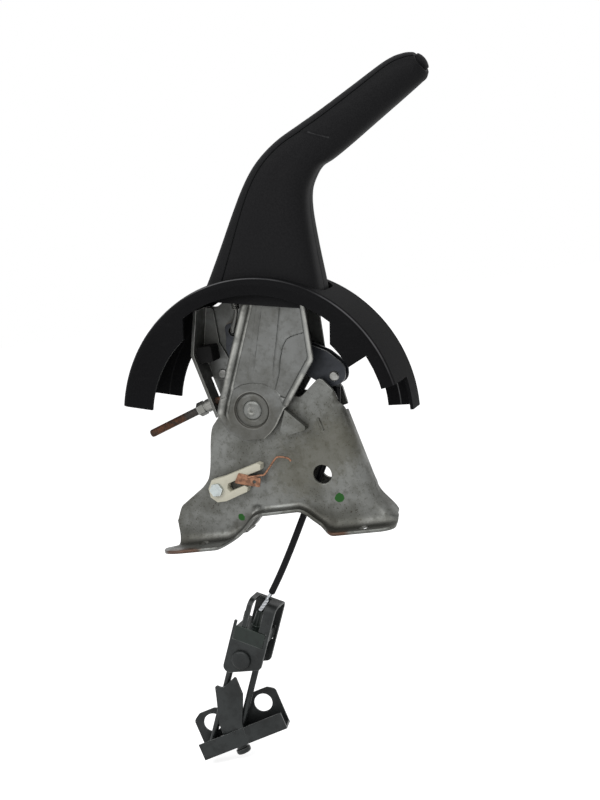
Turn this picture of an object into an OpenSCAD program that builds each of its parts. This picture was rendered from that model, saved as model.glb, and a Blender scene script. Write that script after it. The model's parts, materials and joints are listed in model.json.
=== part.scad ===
// Parking brake lever for a floor console: pressed steel bracket, ratchet lever with
// plastic covers, cable and equaliser. Millimetres, +Z up, +X towards the grip.
// The origin is the middle of the four bolts, on the floor.

/* [Mounting bracket] */
// Height of the lever pivot over the floor
pivot_h = 102; // [98:1:110]
// Pivot behind the middle of the bolt pattern
pivot_back = 8; // [4:1:12]
// Sheet thickness of the bracket
sheet_t = 2.5; // [2:0.1:3]
// Distance over the outsides of the two walls
wall_span = 24; // [23:0.5:26]
// Bolt spacing along the lever
bolt_dx = 132; // [128:1:136]
// Bolt spacing across the lever
bolt_dy = 42; // [40:1:44]
// Radius of a bolt hole
bolt_r = 4.25; // [3:0.25:5]
// Width of a rear foot, from the wall's outside
foot_w = 27; // [24:1:32]
// Width of a front foot, from the wall's outside
front_foot_w = 17; // [16:0.5:20]
// Width of the rim along the arch
rim_w = 7; // [4:0.5:10]
// Radius of the round hole in each wall
wall_hole_r = 7.5; // [5:0.5:9]
// Radius of the wall's hub round the pivot
wall_hub_r = 22; // [19:0.5:23]

/* [Pivot and ratchet] */
// Radius of the pivot shaft
pivot_r = 5; // [4:0.25:6]
// Radius of the pivot's domed head
pivot_head_r = 8.3; // [7.5:0.1:9]
// Radius over the ratchet teeth
tooth_r = 30; // [28:0.5:31]
// Depth of a ratchet tooth
tooth_h = 2.4; // [1.5:0.1:3]
// Angle from tooth to tooth
tooth_step = 4; // [3:0.5:6]
// Radius of the pawl pin
pawl_pin_r = 3; // [2:0.25:3.5]
// Distance from the pawl pin to the release rod's end
pawl_tail = 14; // [13:0.5:16]

/* [Lever arms] */
// Sheet thickness of the arms
arm_t = 2; // [1.5:0.1:2.5]
// Distance over the outsides of the two arms
arm_span = 34; // [33:0.5:35]
// Height of the arms' turned rims
arm_rim = 4; // [2:0.5:6]
// Radius of the dished boss, outside
dish_r = 14.5; // [13:0.5:16]
// Radius of the rod that adjusts the cable
rod_r = 2.8; // [2:0.1:3]
// Width of the adjusting nut across its flats
nut_af = 10; // [9:0.5:13]

/* [Covers] */
// Wall of the plastic covers
cover_t = 2.5; // [1.5:0.1:3]
// Outside radius of the slot shroud
shroud_r = 113; // [111:0.5:115]
// Width of the slot shroud
shroud_w = 62; // [58:1:70]
// Depth of the shroud's flanges at their ends
shroud_lip = 26; // [22:0.5:28]
// Depth of the shroud's flanges over the arms
shroud_top_lip = 13; // [11:0.5:16]
// Radius of the release button
button_r = 6.6; // [6:0.1:6.7]
// Length of the button outside the grip
button_out = 4; // [3:0.1:4.5]

/* [Cable and equaliser] */
// Radius of the pin that carries the cable
link_pin_r = 3; // [2.5:0.25:4]
// Diameter of the coated cable
cable_d = 4.8; // [4:0.1:5.5]
// Diameter of the bare strand
wire_d = 3; // [2:0.1:3.6]
// Width of the folded clip
clip_w = 31; // [29:0.5:36]
// Depth over the clip's two leaves
clip_d = 26; // [24:0.5:28]
// Radius of the barrel that the yoke hangs on
barrel_r = 7.7; // [7:0.1:8]
// Diameter of the yoke's wire
yoke_d = 5.2; // [4:0.1:6]
// Length of the equaliser bar
bar_l = 73; // [70:1:80]
// Depth of the bar's channel, outside
bar_d = 20; // [19.5:0.5:22]
// Radius of a cable eye in the bar
eye_r = 7.5; // [5:0.25:8]
// Distance between the two cable eyes
eye_dx = 45.4; // [44:0.2:48]

/* [Fits] */
// Radial clearance of a running fit
run_fit = 0.05; // [0.02:0.01:0.1]
// Gap between faces that slide past each other
face_gap = 0.3; // [0.2:0.05:0.5]

/* [Hidden] */

$fn = 64;
eps = 0.01;
zinc = [0.72, 0.71, 0.67];
dark_steel = [0.24, 0.27, 0.32];
black = [0.09, 0.09, 0.09];

// Layers across the lever, all measured from its middle plane
wall_out = wall_span / 2;
wall_in = wall_out - sheet_t;
arm_out = arm_span / 2;
arm_in = arm_out - arm_t;
cheek_in = rod_r + 0.6;
cheek_t = 2;
cheek_out = cheek_in + cheek_t;
sector_in = cheek_out + face_gap + 0.1;
pawl_in = sector_in;
pawl_out = wall_in - face_gap / 2;

// Places in the middle plane, measured from the pivot
pawl_at = [-14, 46];
pawl_tail_dir = [0.07, 0.9975];
tail_at = pawl_at + pawl_tail * pawl_tail_dir;
link_end = [66.4, 16.6];
rod_at = [-45, 4.5];
rod_dir = [0.952, 0.306];
rod_len_in = 77;
rod_len_out = 52;
rod_end = rod_at + rod_len_in * rod_dir;
core_pin_at = [38, 140];
rivet_at = [-30.3, 27.5];
stop_at = [27, -2];
wall_hole_at = [45.7, -56.8];
screw_at = [-39.5, -58.3];
arm_bend_z = 84;
arm_top_z = 152;
arm_neck_in = 10;
shroud_at = [7.9, -10.2];
shroud_t = 2.5;
// Top corner of the adjuster's web, below the shroud's skin
skin_gap = 8;
web_corner = shroud_at + (shroud_r - shroud_t - skin_gap) * [cos(116), sin(116)];

// Basic shapes
function unit(v) = v / norm(v);
function xy(p) = [p[0], p[1]];
function turn(v, a) = [v[0] * cos(a) - v[1] * sin(a), v[0] * sin(a) + v[1] * cos(a)];
function arc_between(c, r, a0, a1, n) = [for (i = [0 : n]) c + r * [cos(a0 + (a1 - a0) * i / n),
    sin(a0 + (a1 - a0) * i / n)]];
// A corner b between a and c, rounded to radius r
function corner(a, b, c, r, n) = let (
    u = unit(a - b),
    w = unit(c - b),
    half = acos(u * w) / 2,
    centre = b + unit(u + w) * r / sin(half),
    p = b + u * r / tan(half) - centre,
    q = b + w * r / tan(half) - centre,
    a0 = atan2(p[1], p[0]),
    sweep = atan2(p[0] * q[1] - p[1] * q[0], p * q)
) arc_between(centre, r, a0, a0 + sweep, n);
// A closed outline whose points are [x, y, corner radius]
function outline(p, n = 5) = [for (i = [0 : len(p) - 1])
    each p[i][2] == 0 ? [xy(p[i])] :
        corner(xy(p[(i + len(p) - 1) % len(p)]), xy(p[i]), xy(p[(i + 1) % len(p)]), p[i][2], n)];

// An open route with its inner corners rounded to radius r
function round_route(p, r, n = 4) = concat([p[0]],
    [for (i = [1 : len(p) - 2]) each corner(p[i - 1], p[i], p[i + 1], r, n)], [p[len(p) - 1]]);
// Rings of radius r about the points of a route, kept square to the reference direction ref
function sweep_rings(p, r, sides, ref) = [for (i = [0 : len(p) - 1]) let (
    d = unit(p[min(i + 1, len(p) - 1)] - p[max(i - 1, 0)]),
    u = unit(cross(d, ref)),
    v = cross(d, u)
) [for (k = [0 : sides - 1]) p[i] + r * (cos(360 * k / sides) * u + sin(360 * k / sides) * v)]];

module at_pivot() { translate([-pivot_back, 0, pivot_h]) children(); }
module at_point(p) { translate([p[0], 0, p[1]]) children(); }
// A flat outline in x and z, thickened from y0 to y1
module plate(y0, y1) { translate([0, y1, 0]) rotate([90, 0, 0]) linear_extrude(y1 - y0) children(); }
module y_cylinder(r, y0, y1) { translate([0, y1, 0]) rotate([90, 0, 0]) cylinder(r = r, h = y1 - y0); }
// A solid of revolution about y, from points [radius, y]
module y_turned(points) { rotate([90, 0, 0]) mirror([0, 0, 1]) rotate_extrude() polygon(points); }
// A straight bar of radius r between two points
module bar_between(a, b, r) {
    d = b - a;
    translate(a) rotate([0, acos(d[2] / norm(d)), atan2(d[1], d[0])]) cylinder(r = r, h = norm(d));
}

// Mounting bracket: its front edge leans forward as it goes down, then flares into the foot
web_top = [68.4, -8];
web_lean = 12.4;
web_rise = 21.34;
web_len = (pivot_h + web_top[1] - web_rise) / cos(web_lean);
web_foot = web_top + web_len * [sin(web_lean), -cos(web_lean)];
flare_r = 24;
flare_end = 228.5;
flare_at = web_foot + flare_r * [cos(web_lean), sin(web_lean)];
corner_r = 6.5;
arch_top = 19 - pivot_h;
wall_outline = outline(concat([
    [-39.5, -12, 5], [-46, -48, 10], [-53, -56, 10], [-77, 31 - pivot_h, 12], [-81, 18 - pivot_h, 10],
    [-81, -pivot_h, 0], [-36, -pivot_h, 6], [-26, 6 - pivot_h, 12], [-13, arch_top - 0.5, 10],
    [27, arch_top, 10], [36, 10 - pivot_h, 12], [48, -pivot_h, 6], [92, -pivot_h, 0]],
    [for (q = arc_between(flare_at, flare_r, flare_end, 180 + web_lean, 6)) [q[0], q[1], 0]],
    [[web_top[0], web_top[1], 0], [66.5, 6, 6], [57, 18.5, 6], [38, 4, 10],
    [18, wall_hub_r - 4, 12], [-10, wall_hub_r, 12], [-wall_hub_r, 6, 12]]));
bolt_places = [for (x = [-1, 1], y = [-1, 1]) [x * bolt_dx / 2, y * bolt_dy / 2]];
rear_foot = outline([[-81, 0, 0], [-34, 0, 0], [-34, foot_w, 9], [-81, foot_w, 12]]);
function front_foot(end) = outline([[46, 0, 0], [end, 0, 0], [end, front_foot_w, 10],
    [46, front_foot_w, 9]]);

// Along the front edge of the bracket, with x across the edge
module along_web() {
    translate([web_top[0], 0, web_top[1]]) rotate([0, -web_lean, 0]) translate([0, 0, -web_len]) children();
}
module wall_plate() {
    difference() {
        plate(wall_in, wall_out) polygon(wall_outline);
        along_web() translate([-corner_r, wall_in - 1, 0]) cube([corner_r + 5, sheet_t + 2, web_len]);
    }
}
// The rim that runs along the arch between the feet
module arch_rim() {
    intersection() {
        difference() {
            plate(wall_out - 0.8, wall_out + rim_w) polygon(wall_outline);
            translate([0, 0, sheet_t * 1.3]) plate(wall_out - 1, wall_out + rim_w + 1)
                polygon(wall_outline);
        }
        translate([-34, 0, -pivot_h]) cube([82, 60, 30]);
    }
}
// A foot flange with the bend radius between it and the wall
module foot(points, x0, x1, bend) {
    curve = arc_between([bend, sheet_t + bend], bend, 270, 180, 8);
    translate([0, wall_out - eps, -pivot_h]) linear_extrude(sheet_t) polygon(points);
    translate([x0, wall_out, -pivot_h]) rotate([90, 0, 90]) linear_extrude(x1 - x0)
        polygon(concat([[-0.8, sheet_t - 0.8], [bend, sheet_t - 0.8]], curve, [[-0.8, sheet_t + bend]]));
}
module bracket_half(front_end) {
    difference() {
        union() {
            wall_plate();
            arch_rim();
            foot(rear_foot, -79, -36, 8);
            foot(front_foot(front_end), 49, min(front_end - 8, 84), 11);
        }
        translate([wall_hole_at[0], 0, wall_hole_at[1]]) y_cylinder(wall_hole_r, wall_in - 1, wall_out + 1);
        y_cylinder(pivot_r, wall_in - 1, wall_out + 1);
        translate([pivot_back, 0, -pivot_h - 1])
            for (p = bolt_places) translate([p[0], p[1], 0]) cylinder(r = bolt_r, h = 20);
    }
}
// The front web: round corners into both walls, then a flare forward over the floor
module front_web() {
    c = wall_out - corner_r;
    t = corner_r - sheet_t;
    section = concat([[-corner_r - 2, -wall_out]], arc_between([-corner_r, -c], corner_r, 270, 360, 8),
        arc_between([-corner_r, c], corner_r, 0, 90, 8), arc_between([-corner_r, c], t, 90, 0, 8),
        arc_between([-corner_r, -c], t, 360, 270, 8), [[-corner_r - 2, -wall_in]]);
    along_web() linear_extrude(web_len) polygon(section);
    flare = concat([web_foot + [-1, 3]], arc_between(flare_at, flare_r, 180 + web_lean, flare_end, 8),
        arc_between(flare_at, flare_r + sheet_t, flare_end, 180 + web_lean, 8), [web_foot + [-sheet_t, 3]]);
    plate(-wall_in - 0.8, wall_in) polygon(flare);
}
// The tab that the near arm rests on
stop_tab = outline([[stop_at[0], stop_at[1], 1], [41, -17, 2], [39.5, -20.7, 2], [24, -23, 2],
    [20, -18.5, 1]]);
module bracket_near() {
    color(zinc) at_pivot() {
        difference() {
            union() {
                mirror([0, 1, 0]) bracket_half(99);
                front_web();
            }
            screw_hole();
        }
        plate(-arm_out - 2, -wall_out + eps) polygon(stop_tab);
    }
}
module screw_hole() {
    translate([screw_at[0], 0, screw_at[1]]) y_cylinder(2.5, -wall_out - 1, -wall_in + 1);
}
module bracket_far() {
    color(zinc) at_pivot() difference() {
        bracket_half(84);
        for (p = sector_rivet_places) translate([p[0], 0, p[1]])
            y_cylinder(sector_rivet_r, wall_in - 1, wall_out + 1);
    }
}

// Ratchet
sector_rivet_r = 2.5;
sector_rivet_places = [for (a = [-60, -130]) 17.5 * [cos(a), sin(a)]];
tooth_from = 78;
tooth_to = 142;
tooth_count = floor((tooth_to - tooth_from) / tooth_step);
// Each tooth rises steeply on the side that holds the pawl and slopes back to the next root
ratchet_edge = [for (i = [0 : tooth_count - 1]) let (a = tooth_from + i * tooth_step)
    each [(tooth_r - tooth_h) * [cos(a), sin(a)],
        tooth_r * [cos(a + 0.8 * tooth_step), sin(a + 0.8 * tooth_step)]]];
module ratchet_sector() {
    color(dark_steel) at_pivot() difference() {
        union() {
            plate(sector_in, wall_in) polygon(concat([[18, -4]], ratchet_edge, [[-19, 6]],
                arc_between([0, 0], wall_hub_r - 1, 175, 350, 24)));
        }
        y_cylinder(pivot_r, sector_in - 1, wall_in + 1);
        for (p = sector_rivet_places) translate([p[0], 0, p[1]])
            y_cylinder(sector_rivet_r, sector_in - 1, wall_in + 1);
    }
}
module sector_rivets() {
    color(zinc) at_pivot() for (p = sector_rivet_places) translate([p[0], 0, p[1]])
        y_turned([[0, sector_in - 1.2], [3, sector_in - 1.2], [3.6, sector_in], [sector_rivet_r, sector_in],
            [sector_rivet_r, wall_out], [3.8, wall_out], [3, wall_out + 1.6], [0, wall_out + 1.6]]);
}
dish_in = wall_out + face_gap;
dish_out = dish_in + arm_t;
module pivot_rivet() {
    head = dish_out + face_gap / 2;
    color(zinc) at_pivot() y_turned(concat([[0, -head - 3.4], [2.2, -head - 3.4], [2.8, -head - 4]],
        arc_between([pivot_head_r - 3.6, -head - 0.6], 3.4, 270, 360, 6),
        [[pivot_head_r, -head], [pivot_r, -head], [pivot_r, head], [pivot_head_r, head],
        [pivot_head_r - 1.5, head + 3], [0, head + 3]]));
}

// Warning switch
switch_floor = wall_out;
module switch_body() {
    arm_top = outline([[-46, -62, 7], [-40, -50, 5], [-32, -49, 0], [-4, -42, 2], [-3, -47, 2],
        [-22, -52, 2], [-20, -56, 2], [-14, -58, 2], [-15, -63, 2], [-31, -66, 3], [-41, -69, 6]]);
    color([0.86, 0.83, 0.72]) at_pivot() difference() {
        union() {
            plate(-switch_floor - 8, -switch_floor) polygon(arm_top);
            translate([screw_at[0], 0, screw_at[1]]) y_cylinder(8.5, -switch_floor - 6, -switch_floor);
        }
        translate([screw_at[0], 0, screw_at[1]]) y_cylinder(2.5, -switch_floor - 9, -switch_floor + 1);
        translate([screw_at[0], 0, screw_at[1]]) y_cylinder(8, -switch_floor - 9, -switch_floor - 6);
    }
}
module switch_screw() {
    seat = -switch_floor - 6;
    color([0.8, 0.8, 0.78]) at_pivot() translate([screw_at[0], 0, screw_at[1]]) {
        y_turned([[0, seat - 1.4], [6.8, seat - 1.4], [7.4, seat], [2.4, seat],
            [2.4, -wall_in + 2], [0, -wall_in + 2]]);
        translate([0, seat - 1.4 + eps, 0]) rotate([90, 0, 0]) cylinder(d = 11, h = 3.6, $fn = 6);
    }
}
blade_t = 0.8;
module switch_terminal() {
    blade = outline([[-19, -47, 1], [-1.5, -52.8, 1], [-3.5, -60, 1], [-24, -54.5, 1]]);
    face = -switch_floor - 8;
    color([0.55, 0.36, 0.24]) at_pivot() difference() {
        plate(face - blade_t, face) polygon(blade);
        translate([-7.3, 0, -55.2]) y_cylinder(1.4, face - 2, face + 1);
    }
}
contact_r = 0.8;
contact_route = [[-1.5, -50.5], [2.4, -50.1], [7.5, -45.1], [13, -39.3], [16.3, -37.7], [23.4, -39.3],
    [26, -42]];
module switch_contact() {
    y = -switch_floor - 8 - blade_t - contact_r;
    route = concat([[-12, y, -51]], [for (q = round_route(contact_route, 2.5)) [q[0], y, q[1]]]);
    color([0.6, 0.42, 0.3]) at_pivot() tube(sweep_rings(route, contact_r, 8, [0, 1, 0]));
}

// Lever arms: bent in profile, then cut to the outline
arm_profile = [[-40, arm_in], [arm_bend_z, arm_in], [arm_bend_z + 16, arm_neck_in],
    [arm_top_z, arm_neck_in], [arm_top_z, arm_neck_in + arm_t], [arm_bend_z + 16, arm_neck_in + arm_t],
    [arm_bend_z, arm_out], [-40, arm_out]];
near_outline = outline([[-27, 0, 16], [-24, -16, 10], [-7, -23, 8], [-3, -21, 1], [3, -21, 1], [6, -23, 8],
    [19, -14, 8], [21, -4, 3], [28.5, 0, 2], [56, 34, 6], [57, 84, 4], [52, 94, 6], [52, arm_top_z, 6],
    [22, arm_top_z, 6], [21.5, 108, 10]]);
far_outline = outline([[-34, -3, 3], [-22, -14, 10], [-7, -23, 8], [6, -23, 8], [21, -10, 8], [28.5, 0, 2],
    [56, 34, 6], [57, 84, 4], [52, 94, 6], [52, arm_top_z, 6], [22, arm_top_z, 6], [20, 108, 10],
    [-26, 80, 6], [web_corner[0] + 0.5, web_corner[1], 3], [-45.5, 47, 6]]);
module bent_arm(points) {
    intersection() {
        translate([-90, 0, 0]) rotate([90, 0, 90]) linear_extrude(200)
            polygon([for (p = arm_profile) [p[1], p[0]]]);
        plate(0, arm_out + 1) polygon(points);
    }
}
// The boss is dished down to the wall, so that the arm bears close to it
module dish() {
    y_turned([[pivot_r + run_fit, dish_in], [dish_r - 2.5, dish_in], [dish_r + 0.5, arm_in],
        [dish_r + 0.5, arm_out], [dish_r, arm_out], [dish_r - 3.5, dish_out],
        [pivot_r + run_fit, dish_out]]);
}
module arm(points) {
    difference() {
        bent_arm(points);
        y_cylinder(dish_r, arm_in - 1, arm_out + 1);
        translate([core_pin_at[0], 0, core_pin_at[1]]) y_cylinder(core_pin_r + run_fit, 0, arm_out + 1);
    }
    dish();
}
pocket = outline([[53, 53, 3], [38, 52, 6], [30, 44, 5], [25, 10, 4], [29, 6, 3], [52.5, 35, 4]]);
pocket_depth = 1.6;
module near_rim(points) {
    plate(arm_out - eps, arm_out + arm_rim) polygon(points);
}
module lever_arm_near() {
    left_rim = [[-27, 4], [7, 78], [9.3, 77], [-24.8, 3]];
    right_rim = outline([[28.5, 1, 0], [56, 34.2, 5], [56.8, 72, 0], [54.6, 72, 0], [53.8, 35, 4],
        [26.8, 2.4, 0]]);
    color(zinc) at_pivot() mirror([0, 1, 0]) {
        difference() {
            arm(near_outline);
            plate(arm_out - pocket_depth / 2, arm_out + 1) polygon(pocket);
        }
        intersection() {
            union() {
                near_rim(left_rim);
                near_rim(right_rim);
            }
            plate(arm_in, arm_out + arm_rim + 1) polygon(near_outline);
        }
        // Pressed stiffening beads
        for (b = [[[23, 71], [9, 30]], [[34, 71], [24, 46]]])
            bead(b[0], b[1], 2.6);
    }
}
// A raised bead with round ends, sunk into the sheet
module bead(a, b, r) {
    l = norm(b - a);
    intersection() {
        translate([a[0], arm_out - 1, a[1]]) rotate([0, 90 - atan2(b[1] - a[1], b[0] - a[0]), 0])
            rotate_extrude()
                polygon(concat(arc_between([0, 0], r, -90, 0, 5), arc_between([0, l], r, 0, 90, 5)));
        translate([-60, arm_out - 0.8, -40]) cube([140, 20, 200]);
    }
}
module lever_arm_far() {
    color(zinc) at_pivot() difference() {
        arm(far_outline);
        translate([pawl_at[0], 0, pawl_at[1]]) y_cylinder(pawl_pin_r, arm_in - 1, arm_out + 1);
        translate([rivet_at[0], 0, rivet_at[1]]) y_cylinder(2.5, arm_in - 1, arm_out + 1);
    }
}
// Angle inside the far arm: its leaf is riveted on, its web crosses the lever behind the pivot
leaf_t = 2.4;
web_t = 2.5;
web_line = [web_corner, [-46, 47], [-34.5, -4]];
web_normals = [for (i = [0, 1]) let (d = web_line[i + 1] - web_line[i]) unit([-d[1], d[0]])];
web_low_z = 26;
web_band = concat(web_line, [web_line[2] + web_t * web_normals[1], web_line[1] + [web_t * 1.02, 0],
    web_line[0] + web_t * web_normals[0]]);
module adjuster_bracket() {
    top = web_corner + [1, -1];
    leaf = outline([[top[0], top[1], 0], [-45, 47, 0], [-39, 24, 0], [-24, 21, 5], [-22, 36, 5],
        [-29, 52, 6], [top[0] + 7, top[1] - 1, 3]]);
    leaf_out = arm_in;
    color(zinc) at_pivot() difference() {
        union() {
            plate(leaf_out - leaf_t, leaf_out) polygon(leaf);
            intersection() {
                plate(-wall_in + 1.2, leaf_out) polygon(web_band);
                translate([-60, -40, web_low_z]) cube([60, 80, 80]);
            }
            intersection() {
                plate(-wall_in + 1.2, wall_in - 1.2) polygon(web_band);
                translate([-60, -40, -20]) cube([60, 80, web_low_z + 20 + eps]);
            }
        }
        at_point(rod_at) rotate([0, 90 - atan2(rod_dir[1], rod_dir[0]), 0]) translate([0, 0, -12])
            cylinder(r = rod_r + run_fit, h = 30);
        translate([rivet_at[0], 0, rivet_at[1]]) y_cylinder(2.5, leaf_out - leaf_t - 1, leaf_out + 1);
    }
}
module bracket_rivet() {
    near_face = arm_in - leaf_t;
    color([0.85, 0.84, 0.8]) at_pivot() translate([rivet_at[0], 0, rivet_at[1]])
        y_turned([[0, near_face - 1.6], [3, near_face - 1.6], [4, near_face], [2.5, near_face],
            [2.5, arm_out], [4, arm_out], [3, arm_out + 1.5], [0, arm_out + 1.5]]);
}
module bump_stop() {
    body = outline([[-45, 52, 1.5], [-30.5, 52, 1.5], [-30.5, 39.5, 1.5], [-43, 39.5, 1.5]]);
    color(black) at_pivot() difference() {
        plate(-3, arm_in - leaf_t) polygon(body);
        plate(-wall_out, arm_in) polygon(concat(web_band, [[-60, 84], [-60, 20]]));
        plate(-wall_out, arm_in)
            polygon([[-60, 20], [-60, 84], web_line[0], web_line[1] + [web_t * 1.02, 0], web_line[2]]);
    }
}

// Adjuster and cable link
module along_rod() { at_point(rod_at) rotate([0, 90 - atan2(rod_dir[1], rod_dir[0]), 0]) children(); }
nut_h = 6;
nut_seat = 0.2;
collar_r = 5.2;
collar_end = 7.8;
module adjuster_rod() {
    color([0.42, 0.24, 0.14]) at_pivot() difference() {
        union() {
            along_rod() translate([0, 0, -rod_len_out])
                cylinder(r = rod_r, h = rod_len_out + rod_len_in - 4);
            at_point(rod_end) y_cylinder(6, -rod_r - 0.3, rod_r + 0.3);
        }
        at_point(rod_end) y_cylinder(2.5 + run_fit, -rod_r - 1, rod_r + 1);
    }
}
module adjuster_nut() {
    color([0.8, 0.79, 0.74]) at_pivot() along_rod() translate([0, 0, nut_seat - nut_h]) difference() {
        union() {
            cylinder(d = nut_af / cos(30), h = nut_h, $fn = 6);
            cylinder(r = collar_r - 0.6, h = nut_h + collar_end - nut_seat);
            translate([0, 0, nut_h + 2]) cylinder(r = collar_r, h = collar_end - nut_seat - 2);
        }
        translate([0, 0, -1]) cylinder(r = rod_r + run_fit, h = nut_h + collar_end + 2);
    }
}
module rod_pin() {
    color(zinc) at_pivot() at_point(rod_end)
        y_turned([[0, -cheek_out - 1.2], [4, -cheek_out - 1.2], [4, -cheek_out], [2.5, -cheek_out],
            [2.5, cheek_out], [0, cheek_out]]);
}
link_outline = outline([[-11, -11, 9], [11, -12, 9], [17, 8, 6], [40, 24, 8], [60, 8, 8], [75, 11, 8],
    [76, 24, 8], [64, 36, 10], [46, 46, 10], [24, 48, 10], [-11, 10, 9]]);
module cable_link() {
    color(dark_steel) at_pivot() difference() {
        union() {
            plate(cheek_in, cheek_out) polygon(link_outline);
            plate(-cheek_out, -cheek_in) polygon(link_outline);
            plate(-cheek_in - eps, cheek_in + eps)
                polygon([[25, 46.5], [44.5, 44.6], [44, 42.4], [25, 44.2]]);
            y_cylinder(8.5, -cheek_out, cheek_out);
        }
        y_cylinder(pivot_r + run_fit, -cheek_out - 1, cheek_out + 1);
        at_point(rod_end) y_cylinder(2.5, -cheek_out - 1, cheek_out + 1);
        at_point(link_end) y_cylinder(link_pin_r, -cheek_out - 1, cheek_out + 1);
    }
}
module link_pin() {
    color([0.62, 0.62, 0.6]) at_pivot() at_point(link_end)
        y_turned([[0, -cheek_out - 1.6], [3, -cheek_out - 1.6], [4.2, -cheek_out], [link_pin_r, -cheek_out],
            [link_pin_r, cheek_out], [4, cheek_out], [4, cheek_out + 1.2], [0, cheek_out + 1.2]]);
}

// Pawl, its pin and the pin that ties the arms to the core
module pawl_pin() {
    color(dark_steel) at_pivot() at_point(pawl_at)
        y_turned([[0, pawl_in - 1.8], [5, pawl_in - 1.8], [5, pawl_in - 0.1],
            [pawl_pin_r, pawl_in - 0.1], [pawl_pin_r, pawl_out + 0.1], [5, pawl_out + 0.1], [5, arm_in],
            [pawl_pin_r, arm_in], [pawl_pin_r, arm_out], [4.2, arm_out], [3.6, arm_out + 1.6],
            [0, arm_out + 1.6]]);
}
nose_at = (tooth_r + face_gap + 0.1) * [cos(95), sin(95)];
module pawl() {
    shape = outline([[tail_at[0] - 6.5, tail_at[1] + 6.5, 4], [tail_at[0] - 6.8, tail_at[1] - 4, 3],
        [-21.5, 48, 5], [-20, 37, 5], [nose_at[0] - 5, nose_at[1] + 4.5, 1],
        [nose_at[0] - 0.4, nose_at[1], 0], [nose_at[0] + 2.6, nose_at[1] + 0.4, 0], [-4, 44, 5],
        [tail_at[0] + 6.5, tail_at[1] - 4, 4], [tail_at[0] + 6.5, tail_at[1] + 6.5, 4]]);
    color([0.2, 0.21, 0.23]) at_pivot() difference() {
        plate(pawl_in, pawl_out) polygon(shape);
        at_point(pawl_at) y_cylinder(pawl_pin_r + run_fit, pawl_in - 1, pawl_out + 1);
        at_point(tail_at) y_cylinder(release_r + 1.8, pawl_in - 1, pawl_out + 1);
    }
}
core_pin_r = 4;
module core_pin() {
    color(zinc) at_pivot() at_point(core_pin_at) y_cylinder(core_pin_r, -core_pin_reach, core_pin_reach);
}

// Covers: rings across the lever, each from a rear point to a front point
// [rear x, rear z, front x, front z, half width, squareness, depth of the spine strip]
stations = [
    [-29, 90, 68.5, 70, 22, 5, 15],
    [-21.5, 99, 69, 86, 21, 5, 14.5],
    [-6.5, 123.7, 68.3, 116.2, 19.6, 4.4, 12],
    [7.5, 147.8, 68.6, 142.2, 18.8, 3.8, 10],
    [19, 166.6, 71.3, 157.4, 17.8, 3.4, 8.6],
    [29.6, 180.6, 77, 167.3, 17, 3.1, 8],
    [40.7, 190.7, 83.4, 173.8, 16.2, 2.9, 7.4],
    [54.2, 199.4, 91.4, 177.1, 15.6, 2.7, 6.8],
    [71.4, 207.1, 99.9, 181.3, 15.2, 2.6, 6.4],
    [91.4, 215.9, 111.5, 187.7, 15, 2.5, 6],
    [118.3, 228.6, 131.4, 199.2, 15, 2.5, 5.6],
    [141.1, 239.5, 153.2, 211.7, 14.8, 2.4, 5],
    [151.2, 243.2, 163.4, 217.6, 14, 2.3, 4.4],
    [157.6, 244.2, 168.8, 220.8, 12.8, 2.2, 4],
    [162.2, 244.3, 172.7, 223.2, 11.6, 2.1, 3.6],
    [166.7, 243.5, 175, 227.2, 9.4, 2, 3.2]
];
ring_steps = 3;
function spline(a, b, c, d, t) =
    0.5 * (2 * b + (c - a) * t + (2 * a - 5 * b + 4 * c - d) * t * t + (3 * b - a - 3 * c + d) * t * t * t);
function station(i) = stations[max(0, min(len(stations) - 1, i))];
function ring_at(k) = let (i = min(floor(k), len(stations) - 2), t = k - i)
    spline(station(i - 1), station(i), station(i + 1), station(i + 2), t);
function ring_centre(s) = [(s[0] + s[2]) / 2, (s[1] + s[3]) / 2];
function ring_half(s) = norm([s[2] - s[0], s[3] - s[1]]) / 2;
function ring_axis(s) = unit([s[2] - s[0], s[3] - s[1]]);
function signed_pow(v, e) = v == 0 ? 0 : sign(v) * pow(abs(v), e);
// Angle on a ring, set in by inset, at the depth d from its rear
function seam_angle(s, inset, d) = let (b = ring_half(s)) 180 - acos(pow((b - d) / (b - inset), s[5] / 2));
// Point of a ring at an angle: 0 is the front, 180 the rear
function ring_point(s, inset, a) = let (
    along = (ring_half(s) - inset) * signed_pow(cos(a), 2 / s[5]),
    across = (s[4] - inset) * signed_pow(sin(a), 2 / s[5]),
    c = ring_centre(s) + along * ring_axis(s)
) [c[0], across, c[1]];
// A sheet from inset i0 to inset i1, between two angles on each inset
function shell_ring(s, i0, i1, a0, a1, b0, b1, n) = concat(
    [for (k = [0 : n]) ring_point(s, i0, a0 + (a1 - a0) * k / n)],
    [for (k = [n : -1 : 0]) ring_point(s, i1, b0 + (b1 - b0) * k / n)]);
// Skin over rings of equal count, closed at both ends
module loft(rings) {
    m = len(rings[0]);
    count = len(rings);
    sides = [for (j = [0 : count - 2], k = [0 : m - 1]) let (a = j * m + k, b = j * m + (k + 1) % m)
        each [[a, b, b + m], [a, b + m, a + m]]];
    half = m / 2;
    caps = [for (k = [0 : half - 2]) let (a = k, b = k + 1, c = m - 2 - k, d = m - 1 - k,
        e = (count - 1) * m)
        each [[a, d, b], [d, c, b], [e + a, e + b, e + d], [e + d, e + b, e + c]]];
    polyhedron(points = [for (r = rings) each r], faces = concat(sides, caps));
}
ring_places = [for (k = [0 : (len(stations) - 1) * ring_steps]) k / ring_steps];
seam_gap = 0.3;
cover_points = 10;
function cover_ring(s, side) = let (
    d = s[6] + seam_gap / 2,
    a = seam_angle(s, 0, d),
    b = seam_angle(s, cover_t, d)
) shell_ring(s, 0, cover_t, 0, side * a, 0, side * b, cover_points);
module lever_cover_near() {
    color(black) at_pivot() loft([for (k = ring_places) cover_ring(ring_at(k), -1)]);
}
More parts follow.
